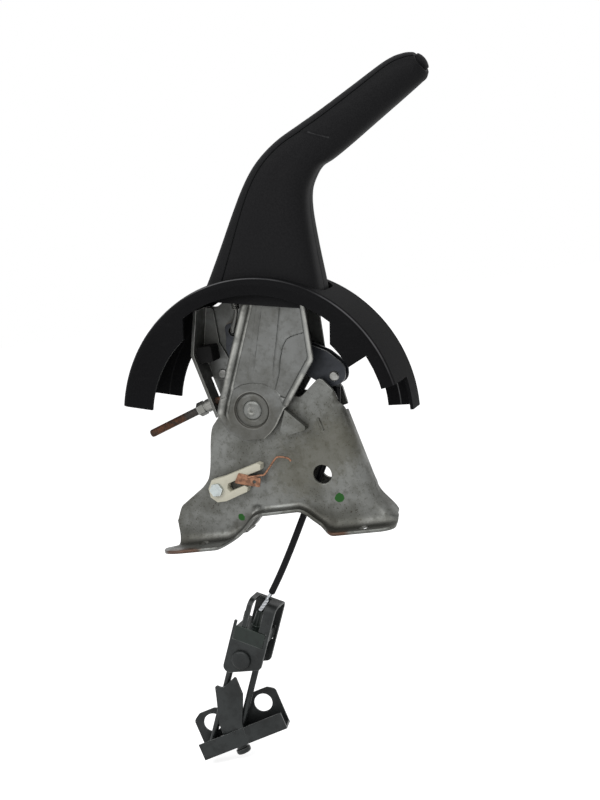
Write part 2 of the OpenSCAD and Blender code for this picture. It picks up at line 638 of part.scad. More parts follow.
module lever_cover_far() {
    color(black) at_pivot() mirror([0, 1, 0]) loft([for (k = ring_places) cover_ring(ring_at(k), -1)]);
}
module spine_trim() {
    n = 8;
    color(black) at_pivot() loft([for (k = ring_places) let (
        s = ring_at(k),
        d = s[6] - seam_gap / 2,
        a = seam_angle(s, 0, d),
        b = seam_angle(s, cover_t, d)
    ) shell_ring(s, 0, cover_t, 360 - a, a, 360 - b, b, n)]);
}
// Steel tube inside the covers, from the arms' necks into the grip
core_gap = 0.3;
core_t = 2;
core_from = 2.6;
core_to = 11;
core_pin_reach = 16;
module lever_core() {
    n = 20;
    places = [for (k = [0 : 20]) core_from + (core_to - core_from) * k / 20];
    color([0.5, 0.5, 0.5]) at_pivot() difference() {
        loft_tube(
            [for (k = places) let (s = ring_at(k))
                [for (i = [0 : n - 1]) ring_point(s, cover_t + core_gap, 360 * i / n)]],
            [for (k = places) let (s = ring_at(k))
                [for (i = [0 : n - 1]) ring_point(s, cover_t + core_gap + core_t, 360 * i / n)]]);
        at_point(core_pin_at) y_cylinder(core_pin_r + run_fit, -30, 30);
    }
}
module loft_tube(outer, inner) {
    m = len(outer[0]);
    count = len(outer);
    base = m * count;
    skin = [for (j = [0 : count - 2], k = [0 : m - 1]) let (a = j * m + k, b = j * m + (k + 1) % m)
        each [[a, b + m, b], [a, a + m, b + m],
            [base + a, base + b, base + b + m], [base + a, base + b + m, base + a + m]]];
    e = (count - 1) * m;
    caps = [for (k = [0 : m - 1]) let (b = (k + 1) % m)
        each [[k, b, base + b], [k, base + b, base + k],
            [e + k, base + e + b, e + b], [e + k, base + e + k, base + e + b]]];
    polyhedron(points = concat([for (r = outer) each r], [for (r = inner) each r]),
        faces = concat(skin, caps));
}

// Slot shroud: an arc round the arms, open below, cut for the covers
shroud_rear = 165.5;
shroud_near_front = 9;
shroud_far_front = -4;
shroud_step = 6;
edge_r = 6;
function on_arc(r, a) = r * [cos(a), sin(a)];
module arc_body(points, a0, a1) {
    rotate([90, 0, 0]) rotate([0, 0, a0]) rotate_extrude(angle = a1 - a0, $fn = 128) polygon(points);
}
module slot_shroud() {
    half = shroud_w / 2;
    inner = shroud_r - shroud_t;
    low = shroud_r - shroud_lip;
    high = shroud_r - shroud_top_lip;
    section = outline([[low, half, 0], [shroud_r, half, edge_r], [shroud_r, -half, edge_r], [low, -half, 0],
        [low, -half + shroud_t, 0], [inner, -half + shroud_t, edge_r - shroud_t],
        [inner, half - shroud_t, edge_r - shroud_t], [low, half - shroud_t, 0]]);
    wedge = concat([[0, 0]], [for (a = [shroud_near_front, 0, shroud_far_front - 8])
        on_arc(1.3 * shroud_r, a)]);
    opening = concat([[0, 0], on_arc(low - 1, 38)], [for (a = [45 : 4.5 : 117]) on_arc(high, a)],
        [on_arc(low - 1, 124)]);
    step = concat([[0, 0]], [for (a = [-24 : 6 : 24]) on_arc(shroud_r - 10, a)]);
    s = ring_at(0.5);
    c = ring_centre(s);
    axis = ring_axis(s);
    slot = [for (i = [0 : 47]) [(ring_half(s) + 2.2) * signed_pow(cos(i * 7.5), 2 / s[5]),
        (s[4] + face_gap) * signed_pow(sin(i * 7.5), 2 / s[5])]];
    color(black) at_pivot() difference() {
        at_point(shroud_at) difference() {
            arc_body(section, shroud_far_front, shroud_rear);
            // The near side ends higher than the far side
            plate(-half - 1, shroud_step) polygon(wedge);
            plate(-half - 1, half + 1) polygon(opening);
            plate(-half - 1, -half + shroud_t + 1) polygon(step);
        }
        translate([c[0], 0, c[1]]) rotate([0, -atan2(axis[1], axis[0]), 0]) translate([0, 0, -28])
            linear_extrude(60) polygon(slot);
    }
}
module shroud_screws() {
    color(black) at_pivot() at_point(shroud_at) for (a = [46, 122]) rotate([0, -a, 0])
        translate([shroud_r - shroud_t - 1.66, shroud_w / 2 - 10.5, 0]) rotate([0, 90, 0])
            cylinder(r = 3.4, h = 1.6);
}

// Release: button in the grip's end, rod down to the pawl, coil spring on the rod
press_dir = [-0.89, -0.455];
release_r = 1.9;
release_y = cheek_out - 1.6;
button_at = [170.9, 235.4];
dome_r = 12.5;
button_in = 26;
release_route = [button_at + button_in * press_dir, [76, 188], [38, 162], [14, 132], [-5, 96], [-7, 74],
    tail_at];
module release_button() {
    rim = asin(button_r / dome_r);
    color(black) at_pivot() translate([button_at[0], 0, button_at[1]])
        rotate([0, 90 - atan2(-press_dir[1], -press_dir[0]), 0])
            rotate_extrude() polygon(concat(
                [[0, -button_in], [button_r - 1, -button_in], [button_r, -button_in + 4]],
                [for (i = [0 : 6]) let (a = rim * (1 - i / 6))
                    [dome_r * sin(a), button_out - dome_r + dome_r * cos(a)]]));
}
module release_rod() {
    last = len(release_route) - 1;
    up = unit(release_route[last - 1] - tail_at);
    hook = 2;
    flat = round_route(concat([for (i = [0 : last - 1]) release_route[i]], [tail_at + hook * up]), 14);
    route = concat([for (q = flat) [q[0], release_y, q[1]]],
        [[tail_at[0] + 0.3 * hook * up[0], release_y + 0.3 * hook, tail_at[1] + 0.3 * hook * up[1]],
         [tail_at[0], release_y + hook, tail_at[1]], [tail_at[0], pawl_out, tail_at[1]]]);
    color([0.6, 0.6, 0.58]) at_pivot() tube(sweep_rings(route, release_r, 8, [up[1], 0, -up[0]]));
}
spring_wire = 1.1;
spring_r = release_r + spring_wire / 2 + 0.1;
spring_turns = 5;
spring_from = release_route[5] + 0.12 * (release_route[4] - release_route[5]);
spring_to = release_route[5] + 0.42 * (release_route[4] - release_route[5]);
module release_spring() {
    sides = 6;
    steps = spring_turns * 10;
    d = spring_to - spring_from;
    length = norm(d);
    rings = [for (i = [0 : steps]) let (a = 360 * spring_turns * i / steps, z = length * i / steps)
        [for (k = [0 : sides - 1]) let (q = 360 * k / sides, r = spring_r + spring_wire / 2 * cos(q))
            [r * cos(a), r * sin(a), z + spring_wire / 2 * sin(q)]]];
    color([0.5, 0.5, 0.48]) at_pivot() translate([spring_from[0], release_y, spring_from[1]])
        rotate([0, atan2(d[0], d[1]), 0]) tube(rings);
}
// A solid rod over closed rings
module tube(rings) {
    m = len(rings[0]);
    count = len(rings);
    skin = [for (j = [0 : count - 2], k = [0 : m - 1]) let (a = j * m + k, b = j * m + (k + 1) % m)
        each [[a, b + m, b], [a, a + m, b + m]]];
    polyhedron(points = [for (r = rings) each r], faces = concat(skin,
        [[for (k = [0 : m - 1]) k], [for (k = [m - 1 : -1 : 0]) (count - 1) * m + k]]));
}

// Cable, in the middle plane: points chosen by hand, measured from the pivot
cable_route = [[65.6, 8], [64.6, 2], [63.2, -5], [61.4, -12], [59.2, -19], [56.6, -26], [53.6, -33],
    [50.2, -40], [46.4, -47], [42.4, -54], [38.2, -61], [33.8, -68], [29.4, -75], [25.1, -82], [20.9, -89],
    [16.7, -96], [12.5, -103], [8.3, -110], [4, -117], [-0.4, -124], [-4.9, -131], [-9.6, -138],
    [-14.5, -145], [-18.3, -150.2]];
wire_route = [[-18.42, -150.34], [-24.1, -156.9], [-30.3, -163.6]];
function route_dir(p, i) = unit(p[min(i + 1, len(p) - 1)] - p[max(i - 1, 0)]);
function route_rings(p, r, sides) = [for (i = [0 : len(p) - 1]) let (d = route_dir(p, i))
    [for (k = [0 : sides - 1]) let (q = 360 * k / sides)
        [p[i][0] - d[1] * r * cos(q), r * sin(q), p[i][1] + d[0] * r * cos(q)]]];
module cable_sleeve() { color(black) at_pivot() tube(route_rings(cable_route, cable_d / 2, 10)); }
module cable_wire() { color([0.75, 0.75, 0.75]) at_pivot() tube(route_rings(wire_route, wire_d / 2, 8)); }
eye_half = cheek_in - face_gap;
module cable_eye() {
    start = cable_route[0];
    d = route_dir(cable_route, 0);
    color([0.45, 0.45, 0.45]) at_pivot() difference() {
        union() {
            at_point(link_end) y_cylinder(6.5, -eye_half, eye_half);
            bar_between([start[0], 0, start[1]], [start[0] - 4 * d[0], 0, start[1] - 4 * d[1]], eye_half);
        }
        at_point(link_end) y_cylinder(link_pin_r + run_fit, -eye_half - 1, eye_half + 1);
    }
}

// Equaliser: measured along the clip's own axis, down from the top of its fold
clip_lean = 24.5;
neck_at = 11;
clip_at = wire_route[2] + neck_at * [sin(clip_lean), cos(clip_lean)];
clip_t = 2;
window_at = 30;
window_h = 12.4;
window_left = -clip_w / 2 + 2.4;
window_right = clip_w / 2 - 2.8;
barrel_at = 51;
barrel_x = -2;
neck_r = 4;
module in_clip() { at_point(clip_at) rotate([0, clip_lean, 0]) children(); }
// A leaf has a narrow neck, an ear beside the window and a slanting lower end
module clip_leaf() {
    side = clip_w / 2;
    top = -window_at + window_h / 2;
    face = outline([[-side + 7, -7, 0], [side, -7, 0], [side, -barrel_at - 3, 5],
        [-side + 5, -barrel_at - 15, 5], [-side, -barrel_at - 12, 4.5], [-side, top + 3.4, 0.8],
        [window_left, top + 3.4, 0.8], [window_left, top - 1, 0], [-side + 7, top - 1, 0]]);
    plate(clip_d / 2 - clip_t, clip_d / 2) polygon(face);
}
module equaliser_clip() {
    bend = 7;
    side = clip_d / 2 - bend;
    section = concat(arc_between([side, -bend], bend, 0, 90, 8),
        arc_between([-side, -bend], bend, 90, 180, 8),
        arc_between([-side, -bend], bend - clip_t, 180, 90, 8),
        arc_between([side, -bend], bend - clip_t, 90, 0, 8));
    color([0.3, 0.3, 0.31]) at_pivot() in_clip() difference() {
        union() {
            clip_leaf();
            mirror([0, 1, 0]) clip_leaf();
            translate([-clip_w / 2 + 7, 0, 0]) rotate([90, 0, 90]) linear_extrude(clip_w - 7)
                polygon(section);
        }
        translate([window_left, -clip_d, -window_at - window_h / 2])
            cube([window_right - window_left, 2 * clip_d, window_h]);
        // Keyhole slot from the window over the fold, for the ferrule's neck and the strand
        translate([-neck_r - face_gap, -clip_d, -window_at])
            cube([2 * neck_r + 2.5, clip_d + neck_r + face_gap, window_at + 10]);
        translate([barrel_x, 0, -barrel_at]) y_cylinder(4, -clip_d, clip_d);
    }
}
module cable_ferrule() {
    fit = 0.2;
    low = -window_h / 2 + fit / 2;
    block = outline([[window_left + fit, low, 1.5], [window_right - fit, low, 1.5],
        [window_right - fit, -low, 1.5], [window_left + fit, -low, 1.5]]);
    neck_len = window_at - window_h / 2 - neck_at - 0.7;
    color([0.25, 0.27, 0.26]) at_pivot() in_clip() {
        translate([0, 0, -window_at]) plate(-clip_d / 2 - 0.8, clip_d / 2 + 0.8) polygon(block);
        translate([0, 0, -window_at + window_h / 2 - 1]) cylinder(r1 = neck_r, r2 = 2.6, h = neck_len + 1);
    }
}
module clip_pin() {
    out = clip_d / 2;
    color([0.42, 0.42, 0.42]) at_pivot() in_clip() translate([barrel_x, 0, -barrel_at])
        y_turned(concat([[0, -out - 3.2]], arc_between([8 - 2.6, -out - 0.6], 2.6, 270, 360, 6),
            [[8, -out], [4, -out], [4, -out + clip_t], [barrel_r, -out + clip_t], [barrel_r, out - clip_t],
            [4, out - clip_t], [4, out], [7, out], [6, out + 2], [0, out + 2]]));
}

// Bar and yoke: the bar has its own lean and turn
bar_lean = 14.2;
bar_turn = 13;
bar_shift = 3.7;
bar_at = [-65, -266.8];
bar_t = 2;
lip_top = 7;
bar_floor = -6.7;
back_top = 27.2;
eye_z = 16.2;
bolt_at = -6;
module in_lean() { at_point(bar_at) rotate([0, -bar_lean, 0]) children(); }
module in_bar() { in_lean() translate([0, bar_shift, 0]) rotate([0, 0, bar_turn]) children(); }
yoke_r = barrel_r + run_fit + yoke_d / 2;
module equaliser_yoke() {
    color([0.36, 0.36, 0.37]) at_pivot() difference() {
        in_clip() translate([barrel_x, 0, -barrel_at]) {
            rotate([90, 0, 0]) rotate_extrude(angle = 180) translate([yoke_r, 0]) circle(d = yoke_d);
            for (x = [-1, 1]) translate([x * yoke_r, 0, -90]) cylinder(d = yoke_d, h = 90 + eps);
        }
        in_bar() translate([-80, -40, bar_floor + bar_t - 80]) cube([160, 80, 80]);
    }
}
module equaliser_bar() {
    half = bar_d / 2;
    end = bar_l / 2;
    back = outline([[-end, bar_floor, 1], [end, bar_floor, 1], [end, back_top - 4, 4],
        [end - 6, back_top, 4], [end - 22, back_top, 6], [8, back_top - 14, 8],
        [-8, back_top - 14, 8], [-end + 22, back_top, 6], [-end + 6, back_top, 4], [-end, back_top - 4, 4]]);
    tongue = outline([[-14, bar_floor + 0.6, 0], [4, bar_floor + 0.6, 0], [6, 10, 4], [17, 33, 6],
        [17.5, 49, 1.5], [13, 47, 3], [3, 43, 5], [-2.5, 47.5, 1.5], [-5.5, 38, 6], [-13, 16, 6]]);
    color([0.28, 0.28, 0.29]) at_pivot() {
        in_bar() difference() {
            union() {
                plate(half - bar_t, half) polygon(back);
                translate([-end, -half, bar_floor]) cube([bar_l, bar_d, bar_t]);
                translate([-end, -half, bar_floor]) cube([bar_l, bar_t, lip_top - bar_floor]);
            }
            for (x = [-1, 1]) translate([x * eye_dx / 2, 0, eye_z]) y_cylinder(eye_r, 0, half + 1);
            translate([bolt_at, 0, bar_floor - 1]) cylinder(r = 3, h = bar_t + 2);
        }
        // The tongue between the yoke's legs
        in_lean() plate(-5.6, -3.4) polygon(tongue);
    }
}
module bar_bolt() {
    reach = 3.4;
    color([0.4, 0.4, 0.4]) at_pivot() in_bar() translate([bolt_at, 0, bar_floor - reach - 4.5])
        rotate_extrude() polygon(concat([[0, 0]], arc_between([4, 2], 2, 270, 360, 6),
            [[6, 4.5], [4.6, 4.5], [4.6, 4.5 + reach], [3, 4.5 + reach],
            [3, 4.5 + reach + bar_t], [0, 4.5 + reach + bar_t]]));
}

bracket_near();
bracket_far();
ratchet_sector();
sector_rivets();
pivot_rivet();
switch_body();
switch_screw();
switch_terminal();
switch_contact();
lever_arm_near();
lever_arm_far();
adjuster_bracket();
bracket_rivet();
bump_stop();
adjuster_rod();
adjuster_nut();
rod_pin();
cable_link();
link_pin();
pawl_pin();
core_pin();
lever_core();
lever_cover_near();
lever_cover_far();
spine_trim();
slot_shroud();
shroud_screws();
pawl();
release_button();
release_rod();
release_spring();
cable_eye();
cable_sleeve();
cable_wire();
cable_ferrule();
equaliser_clip();
clip_pin();
equaliser_yoke();
equaliser_bar();
bar_bolt();
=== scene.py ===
import json
import bmesh
import bpy
import numpy as np
from mathutils import Matrix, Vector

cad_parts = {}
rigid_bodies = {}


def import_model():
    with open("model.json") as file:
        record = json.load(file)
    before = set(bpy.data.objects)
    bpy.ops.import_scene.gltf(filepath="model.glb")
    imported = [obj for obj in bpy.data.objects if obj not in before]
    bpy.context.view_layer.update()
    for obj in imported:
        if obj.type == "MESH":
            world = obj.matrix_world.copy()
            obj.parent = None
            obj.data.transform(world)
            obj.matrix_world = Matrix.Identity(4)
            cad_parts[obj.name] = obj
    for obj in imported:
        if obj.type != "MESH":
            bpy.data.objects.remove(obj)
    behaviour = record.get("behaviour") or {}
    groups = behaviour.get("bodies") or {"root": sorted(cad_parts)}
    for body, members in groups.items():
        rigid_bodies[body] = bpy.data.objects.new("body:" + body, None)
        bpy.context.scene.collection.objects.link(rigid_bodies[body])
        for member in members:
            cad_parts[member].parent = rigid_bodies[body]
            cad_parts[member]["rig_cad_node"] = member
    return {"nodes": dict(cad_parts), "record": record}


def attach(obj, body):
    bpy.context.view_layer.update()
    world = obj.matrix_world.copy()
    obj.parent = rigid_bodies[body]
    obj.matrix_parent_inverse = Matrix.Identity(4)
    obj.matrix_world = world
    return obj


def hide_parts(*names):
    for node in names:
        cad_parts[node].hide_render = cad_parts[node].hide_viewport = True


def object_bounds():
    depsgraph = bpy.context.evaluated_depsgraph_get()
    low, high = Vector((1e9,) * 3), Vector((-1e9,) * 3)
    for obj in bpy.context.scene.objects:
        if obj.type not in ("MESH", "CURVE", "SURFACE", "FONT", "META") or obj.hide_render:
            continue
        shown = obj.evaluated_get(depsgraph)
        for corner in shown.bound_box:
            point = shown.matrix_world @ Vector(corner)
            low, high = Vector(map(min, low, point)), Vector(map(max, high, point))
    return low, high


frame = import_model()
cad_low, cad_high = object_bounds()
scene = bpy.context.scene
scene.view_settings.view_transform = "Standard"

# Camera: a long lens about 1.3 m off the lever's near side and a little above it,
# turned ten degrees about its own axis, so that the bracket leans as in the picture.
azimuth, elevation, roll = np.radians([20.0, 8.0, 10.0])
focal_px = 1690.0
away = 1.3
picture_px = np.array([600, 800])
pivot_px = np.array([252.5, 410.0])
pivot = np.array([-0.008, 0.0, 0.102])
rivet_head = np.array([0, -0.016, 0])
back = np.array([
    np.sin(azimuth) * np.cos(elevation), -np.cos(azimuth) * np.cos(elevation), np.sin(elevation)])
level = np.array([np.cos(azimuth), np.sin(azimuth), 0.0])
upright = np.cross(back, level)
right = np.cos(roll) * level - np.sin(roll) * upright
up = np.sin(roll) * level + np.cos(roll) * upright
off_x, off_y = (pivot_px - picture_px / 2) * away / focal_px
eye = pivot + rivet_head + back * away - right * off_x + up * off_y
lens = bpy.data.cameras.new("camera")
lens.sensor_width = 36
lens.lens = float(focal_px * lens.sensor_width / picture_px[1])
camera = bpy.data.objects.new("camera", lens)
camera.matrix_world = Matrix(np.vstack([np.column_stack([right, up, back, eye]), [0, 0, 0, 1]]).tolist())
scene.collection.objects.link(camera)
scene.camera = camera

# Cable: a steel strand in an extruded black coat. It hangs from the link's pin, leaves
# under the bracket's arch and shows its bare strand just above the equaliser.
# Its points are x and z from the pivot in millimetres, its radii and lengths are metres.
body_of = {n: b for b, ns in frame["record"]["behaviour"]["bodies"].items() for n in ns}
cable_points = np.array([
    [65.6, 8], [64.6, 2], [63.2, -5], [61.4, -12], [59.2, -19], [56.6, -26], [53.6, -33], [50.2, -40],
    [46.4, -47], [42.4, -54], [38.2, -61], [33.8, -68], [29.4, -75], [25.1, -82], [20.9, -89], [16.7, -96],
    [12.5, -103], [8.3, -110], [4, -117], [-0.4, -124], [-4.9, -131], [-9.6, -138], [-14.5, -145],
    [-18.3, -150.2]])
coat_r, coat_end_step, cable_rings = 0.0027, 0.0005, 139
strand_points = np.array([[-18.42, -150.34], [-24.1, -156.9], [-30.3, -163.6]])
strand_r, strand_run, strand_lay, strand_rings = 0.0015, 0.0178, 0.016, 60
around = np.linspace(0, 2 * np.pi, 24, endpoint=False)


def spline(rows, places):
    """Rows of numbers read between the rows: the cubic through four neighbours whose slope at
    a row is half the step between the rows beside it."""
    i = np.minimum(np.floor(places).astype(int), len(rows) - 2)
    t = (places - i)[:, None]
    a, b, c, d = (rows[np.clip(i + k, 0, len(rows) - 1)] for k in (-1, 0, 1, 2))
    square, cube = 2 * a - 5 * b + 4 * c - d, 3 * b - a - 3 * c + d
    return 0.5 * (2 * b + (c - a) * t + square * t ** 2 + cube * t ** 3)


def in_plane(points, y=0.0):
    """Millimetres from the pivot, in a plane at y across the lever, as places in the frame in metres."""
    return pivot + np.column_stack([points[:, 0], 0 * points[:, 0] + y, points[:, 1]]) / 1000


def tube(route, radius, turn):
    """A ring at each point of a route that keeps its y: route + radius (cos turn * side + sin turn * y),
    where side is square to the route."""
    d = np.gradient(route, axis=0)
    d /= np.linalg.norm(d, axis=1, keepdims=True)
    y = np.array([0, 1.0, 0])
    side = np.cross(d, y)
    across = np.cos(turn)[:, None] * side[:, None] + np.sin(turn)[:, None] * y
    return route[:, None] + radius[..., None] * across


def surface(name, grid, body, sharp=35):
    """A closed skin over a grid of points: each row closes on itself and is joined to the next, and the
    first and last rows are capped. Edges that turn by more than sharp degrees stay crisp."""
    rows, cols = grid.shape[:2]
    n = np.arange(rows * cols).reshape(rows, cols)
    beside = np.roll(n, -1, 1)
    quads = np.stack([n[:-1], beside[:-1], beside[1:], n[1:]], -1).reshape(-1, 4).tolist()
    mesh = bpy.data.meshes.new(name)
    mesh.from_pydata(grid.reshape(-1, 3).tolist(), [], quads + [n[0, ::-1].tolist(), n[-1].tolist()])
    build = bmesh.new()
    build.from_mesh(mesh)
    bmesh.ops.recalc_face_normals(build, faces=build.faces)
    build.to_mesh(mesh)
    build.free()
    mesh.shade_smooth()
    mesh.set_sharp_from_angle(angle=np.radians(sharp))
    piece = bpy.data.objects.new(name, mesh)
    scene.collection.objects.link(piece)
    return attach(piece, body)


def put(tree, kind, settings=None, **inputs):
    """One shader node. An input is a socket to link or a value to set, by its name with _ for a space,
    or by its place as i0, i1 and so on."""
    node = tree.nodes.new(kind)
    for key, value in (settings or {}).items():
        setattr(node, key, value)
    for key, value in inputs.items():
        by_place = key[0] == "i" and key[1:].isdigit()
        socket = node.inputs[int(key[1:]) if by_place else key.replace("_", " ")]
        if isinstance(value, bpy.types.NodeSocket):
            tree.links.new(value, socket)
        else:
            socket.default_value = value
    return node


def band(tree, value, low, high, to_low=0.0, to_high=1.0):
    """A value read smoothly from low to high as to_low to to_high."""
    made = put(tree, "ShaderNodeMapRange", {"interpolation_type": "SMOOTHSTEP"}, Value=value,
               From_Min=low, From_Max=high, To_Min=to_low, To_Max=to_high)
    return made.outputs["Result"]


def math(tree, operation, a, b=0.0):
    return put(tree, "ShaderNodeMath", {"operation": operation}, i0=a, i1=b).outputs[0]


def mix(tree, share, a, b):
    return put(tree, "ShaderNodeMix", {"data_type": "RGBA"}, i0=share, i6=a, i7=b).outputs[2]


def noise(tree, where, scale, detail=3.0, rough=0.55):
    made = put(tree, "ShaderNodeTexNoise", None, Vector=where, Scale=scale, Detail=detail, Roughness=rough)
    return made.outputs["Fac"]


def effect(name, inputs, outputs):
    """An empty node group with named sockets, and the nodes at its two ends."""
    tree = bpy.data.node_groups.new(name, "ShaderNodeTree")
    for way, sockets in (("INPUT", inputs), ("OUTPUT", outputs)):
        for socket, kind in sockets.items():
            tree.interface.new_socket(socket, in_out=way, socket_type="NodeSocket" + kind)
    return tree, tree.nodes.new("NodeGroupInput").outputs, tree.nodes.new("NodeGroupOutput").inputs


def place(tree, group, **inputs):
    return put(tree, "ShaderNodeGroup", {"node_tree": group}, **inputs).outputs


def finish(name, metal=0.0, rough=0.5, gloss=0.5):
    """A new material: its tree, its shader and the piece's own coordinates."""
    made = bpy.data.materials.new(name)
    made.use_nodes = True
    tree = made.node_tree
    shader = tree.nodes["Principled BSDF"].inputs
    shader["Metallic"].default_value = metal
    shader["Roughness"].default_value = rough
    shader["Specular IOR Level"].default_value = gloss
    return made, tree, shader, tree.nodes.new("ShaderNodeTexCoord").outputs["Object"]


def relief(tree, shader, height, strength, depth, below=None):
    """A height as bumps on the shader's normal, over the bumps below it."""
    made = put(tree, "ShaderNodeBump", None, Strength=strength, Distance=depth, Height=height)
    if below:
        tree.links.new(below, made.inputs["Normal"])
    tree.links.new(made.outputs[0], shader["Normal"])
    return made.outputs[0]


def paint(piece, made):
    piece.data.materials.clear()
    piece.data.materials.append(made)


grain, g_in, g_out = effect("moulded grain", {"Vector": "Vector", "Scale": "Float", "Depth": "Float"},
                            {"Height": "Float", "Cloud": "Float"})
fine = noise(grain, g_in["Vector"], 1.0, 2.0)
grain.links.new(g_in["Scale"], fine.node.inputs["Scale"])
cloud = noise(grain, g_in["Vector"], 14.0, 4.0)
grain.links.new(math(grain, "MULTIPLY", fine, g_in["Depth"]), g_out["Height"])
grain.links.new(band(grain, cloud, 0.3, 0.7), g_out["Cloud"])

cable_line = in_plane(spline(cable_points, np.linspace(0, len(cable_points) - 1, cable_rings)))
along = np.linspace(0, 1, cable_rings)[:, None]
coat_radius = coat_r - coat_end_step * (np.abs(along - 0.5) > 0.498) + 0 * around
coat = surface("cable_coat", tube(cable_line, coat_radius, around), body_of["cable_sleeve"])
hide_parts("cable_sleeve")
coat_black, tree, shader, where = finish("cable_coat_black", rough=0.3, gloss=0.08)
marks = place(tree, grain, Vector=where, Scale=900.0, Depth=0.3)
black = mix(tree, marks["Cloud"], (0.004, 0.004, 0.005, 1), (0.008, 0.008, 0.009, 1))
tree.links.new(black, shader["Base Color"])
tree.links.new(band(tree, marks["Cloud"], 0, 1, 0.24, 0.4), shader["Roughness"])
relief(tree, shader, marks["Height"], 0.15, 0.0003)
paint(coat, coat_black)

strand_line = in_plane(spline(strand_points, np.linspace(0, 2, strand_rings)))
run = np.linspace(0, strand_run, strand_rings)[:, None]
six_wires = np.abs(np.cos(3 * (around - run * 2 * np.pi / strand_lay))) ** 0.7
strand_radius = strand_r * (0.8 + 0.2 * six_wires)
strand = surface("cable_strand", tube(strand_line, strand_radius, around), body_of["cable_wire"], 60)
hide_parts("cable_wire")
strand_steel, tree, shader, where = finish("strand_steel", 1.0, 0.3)
tone = noise(tree, where, 600.0)
tree.links.new(mix(tree, tone, (0.34, 0.36, 0.38, 1), (0.62, 0.64, 0.66, 1)), shader["Base Color"])
tree.links.new(band(tree, tone, 0.3, 0.7, 0.22, 0.42), shader["Roughness"])
paint(strand, strand_steel)

# Floor and light: a white studio sheet under the equaliser, even light from all round,
# a large soft lamp over the near side and a narrow one above for the shroud's edge.
floor_z = cad_low.z - 0.004
floor_half = 4
floor_glow, room_light = 0.75, 0.45
corners = [(-floor_half, -floor_half, floor_z), (floor_half, -floor_half, floor_z),
           (floor_half, floor_half, floor_z), (-floor_half, floor_half, floor_z)]
sheet = bpy.data.meshes.new("floor")
sheet.from_pydata(corners, [], [(0, 1, 2, 3)])
floor = bpy.data.objects.new("floor", sheet)
scene.collection.objects.link(floor)


def seen(tree):
    """1 for what the camera sees, straight on, in a reflection or through glass."""
    ray = put(tree, "ShaderNodeLightPath").outputs
    straight = math(tree, "MAXIMUM", ray["Is Camera Ray"], ray["Is Glossy Ray"])
    return math(tree, "MAXIMUM", straight, ray["Is Transmission Ray"])


white, tree, shader, where = finish("floor_white", rough=0.9, gloss=0.0)
tone = band(tree, noise(tree, where, 3.0), 0.3, 0.7)
tree.links.new(mix(tree, tone, (0.86, 0.86, 0.86, 1), (0.88, 0.88, 0.88, 1)), shader["Base Color"])
matt = tree.nodes["Principled BSDF"].outputs[0]
glow = put(tree, "ShaderNodeEmission", None, Strength=floor_glow)
lit = put(tree, "ShaderNodeAddShader", None, i0=matt, i1=glow.outputs[0])
shown = put(tree, "ShaderNodeMixShader", None, i0=seen(tree), i1=matt, i2=lit.outputs[0])
tree.links.new(shown.outputs[0], tree.nodes["Material Output"].inputs[0])
sheet.materials.append(white)

scene.world = bpy.data.worlds.new("studio")
scene.world.use_nodes = True
tree = scene.world.node_tree
room = tree.nodes["Background"]
room.inputs["Color"].default_value = (1, 1, 1, 1)
room.inputs["Strength"].default_value = room_light
plain = put(tree, "ShaderNodeBackground", None, Color=(1, 1, 1, 1), Strength=1.0)
sky = put(tree, "ShaderNodeMixShader", None, i0=seen(tree), i1=room.outputs[0], i2=plain.outputs[0])
tree.links.new(sky.outputs[0], tree.nodes["World Output"].inputs[0])


def lamp(name, place_at, aim, size, watts):
    """A rectangular lamp at a place, turned to shine on its aim."""
    light = bpy.data.lights.new(name, "AREA")
    light.shape = "RECTANGLE"
    light.size, light.size_y = size
    light.energy = watts
    made = bpy.data.objects.new(name, light)
    axis = np.array(place_at) - np.array(aim)
    axis /= np.linalg.norm(axis)
    wide = np.cross([0, 0, 1], axis)
    wide /= np.linalg.norm(wide)
    turn = np.column_stack([wide, np.cross(axis, wide), axis, place_at])
    made.matrix_world = Matrix(np.vstack([turn, [0, 0, 0, 1]]).tolist())
    scene.collection.objects.link(made)


lamp("soft_lamp", (-0.5, -1.3, 1.1), (0.02, 0, 0.12), (1.0, 1.0), 11.0)
lamp("edge_lamp", (0.55, -0.9, 1.2), (0.05, 0, 0.15), (0.12, 0.9), 5.0)

# Bracket: two blanks pressed from steel sheet and zinc plated, now dull and stained, with
# broken cut edges, two dabs of green inspection paint, rust along the feet and painted shade in its bends.
# The near half is made anew: a wall with bent feet and rim, a web round its front and a stop tab.


def eased(name, width=0.0):
    """The solid's own mesh, welded, with flat faces joined. With a width, each edge that turns by more
    than 25 degrees is cut back by it and rounded, and the attribute edge is 1 on the rounding."""
    build = bmesh.new()
    build.from_mesh(frame["nodes"][name].data)
    bmesh.ops.remove_doubles(build, verts=build.verts, dist=2e-6)
    bmesh.ops.dissolve_limit(build, angle_limit=np.radians(0.3), verts=build.verts, edges=build.edges)
    worn = build.loops.layers.float.new("edge")
    if width:
        keen = [e for e in build.edges if len(e.link_faces) == 2 and e.calc_face_angle() > np.radians(25)]
        made = bmesh.ops.bevel(build, geom=keen, offset=width, offset_type="OFFSET", segments=2, profile=0.5,
                               affect="EDGES", clamp_overlap=True)
        for face in made["faces"]:
            for corner in face.loops:
                corner[worn] = 1.0
    mesh = bpy.data.meshes.new(name + "_eased")
    build.to_mesh(mesh)
    build.free()
    mesh.shade_smooth()
    mesh.set_sharp_from_angle(angle=np.radians(50 if width else 30))
    piece = bpy.data.objects.new(name + "_eased", mesh)
    scene.collection.objects.link(piece)
    piece.modifiers.new("flat faces", "WEIGHTED_NORMAL").keep_sharp = True
    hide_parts(name)
    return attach(piece, body_of[name])


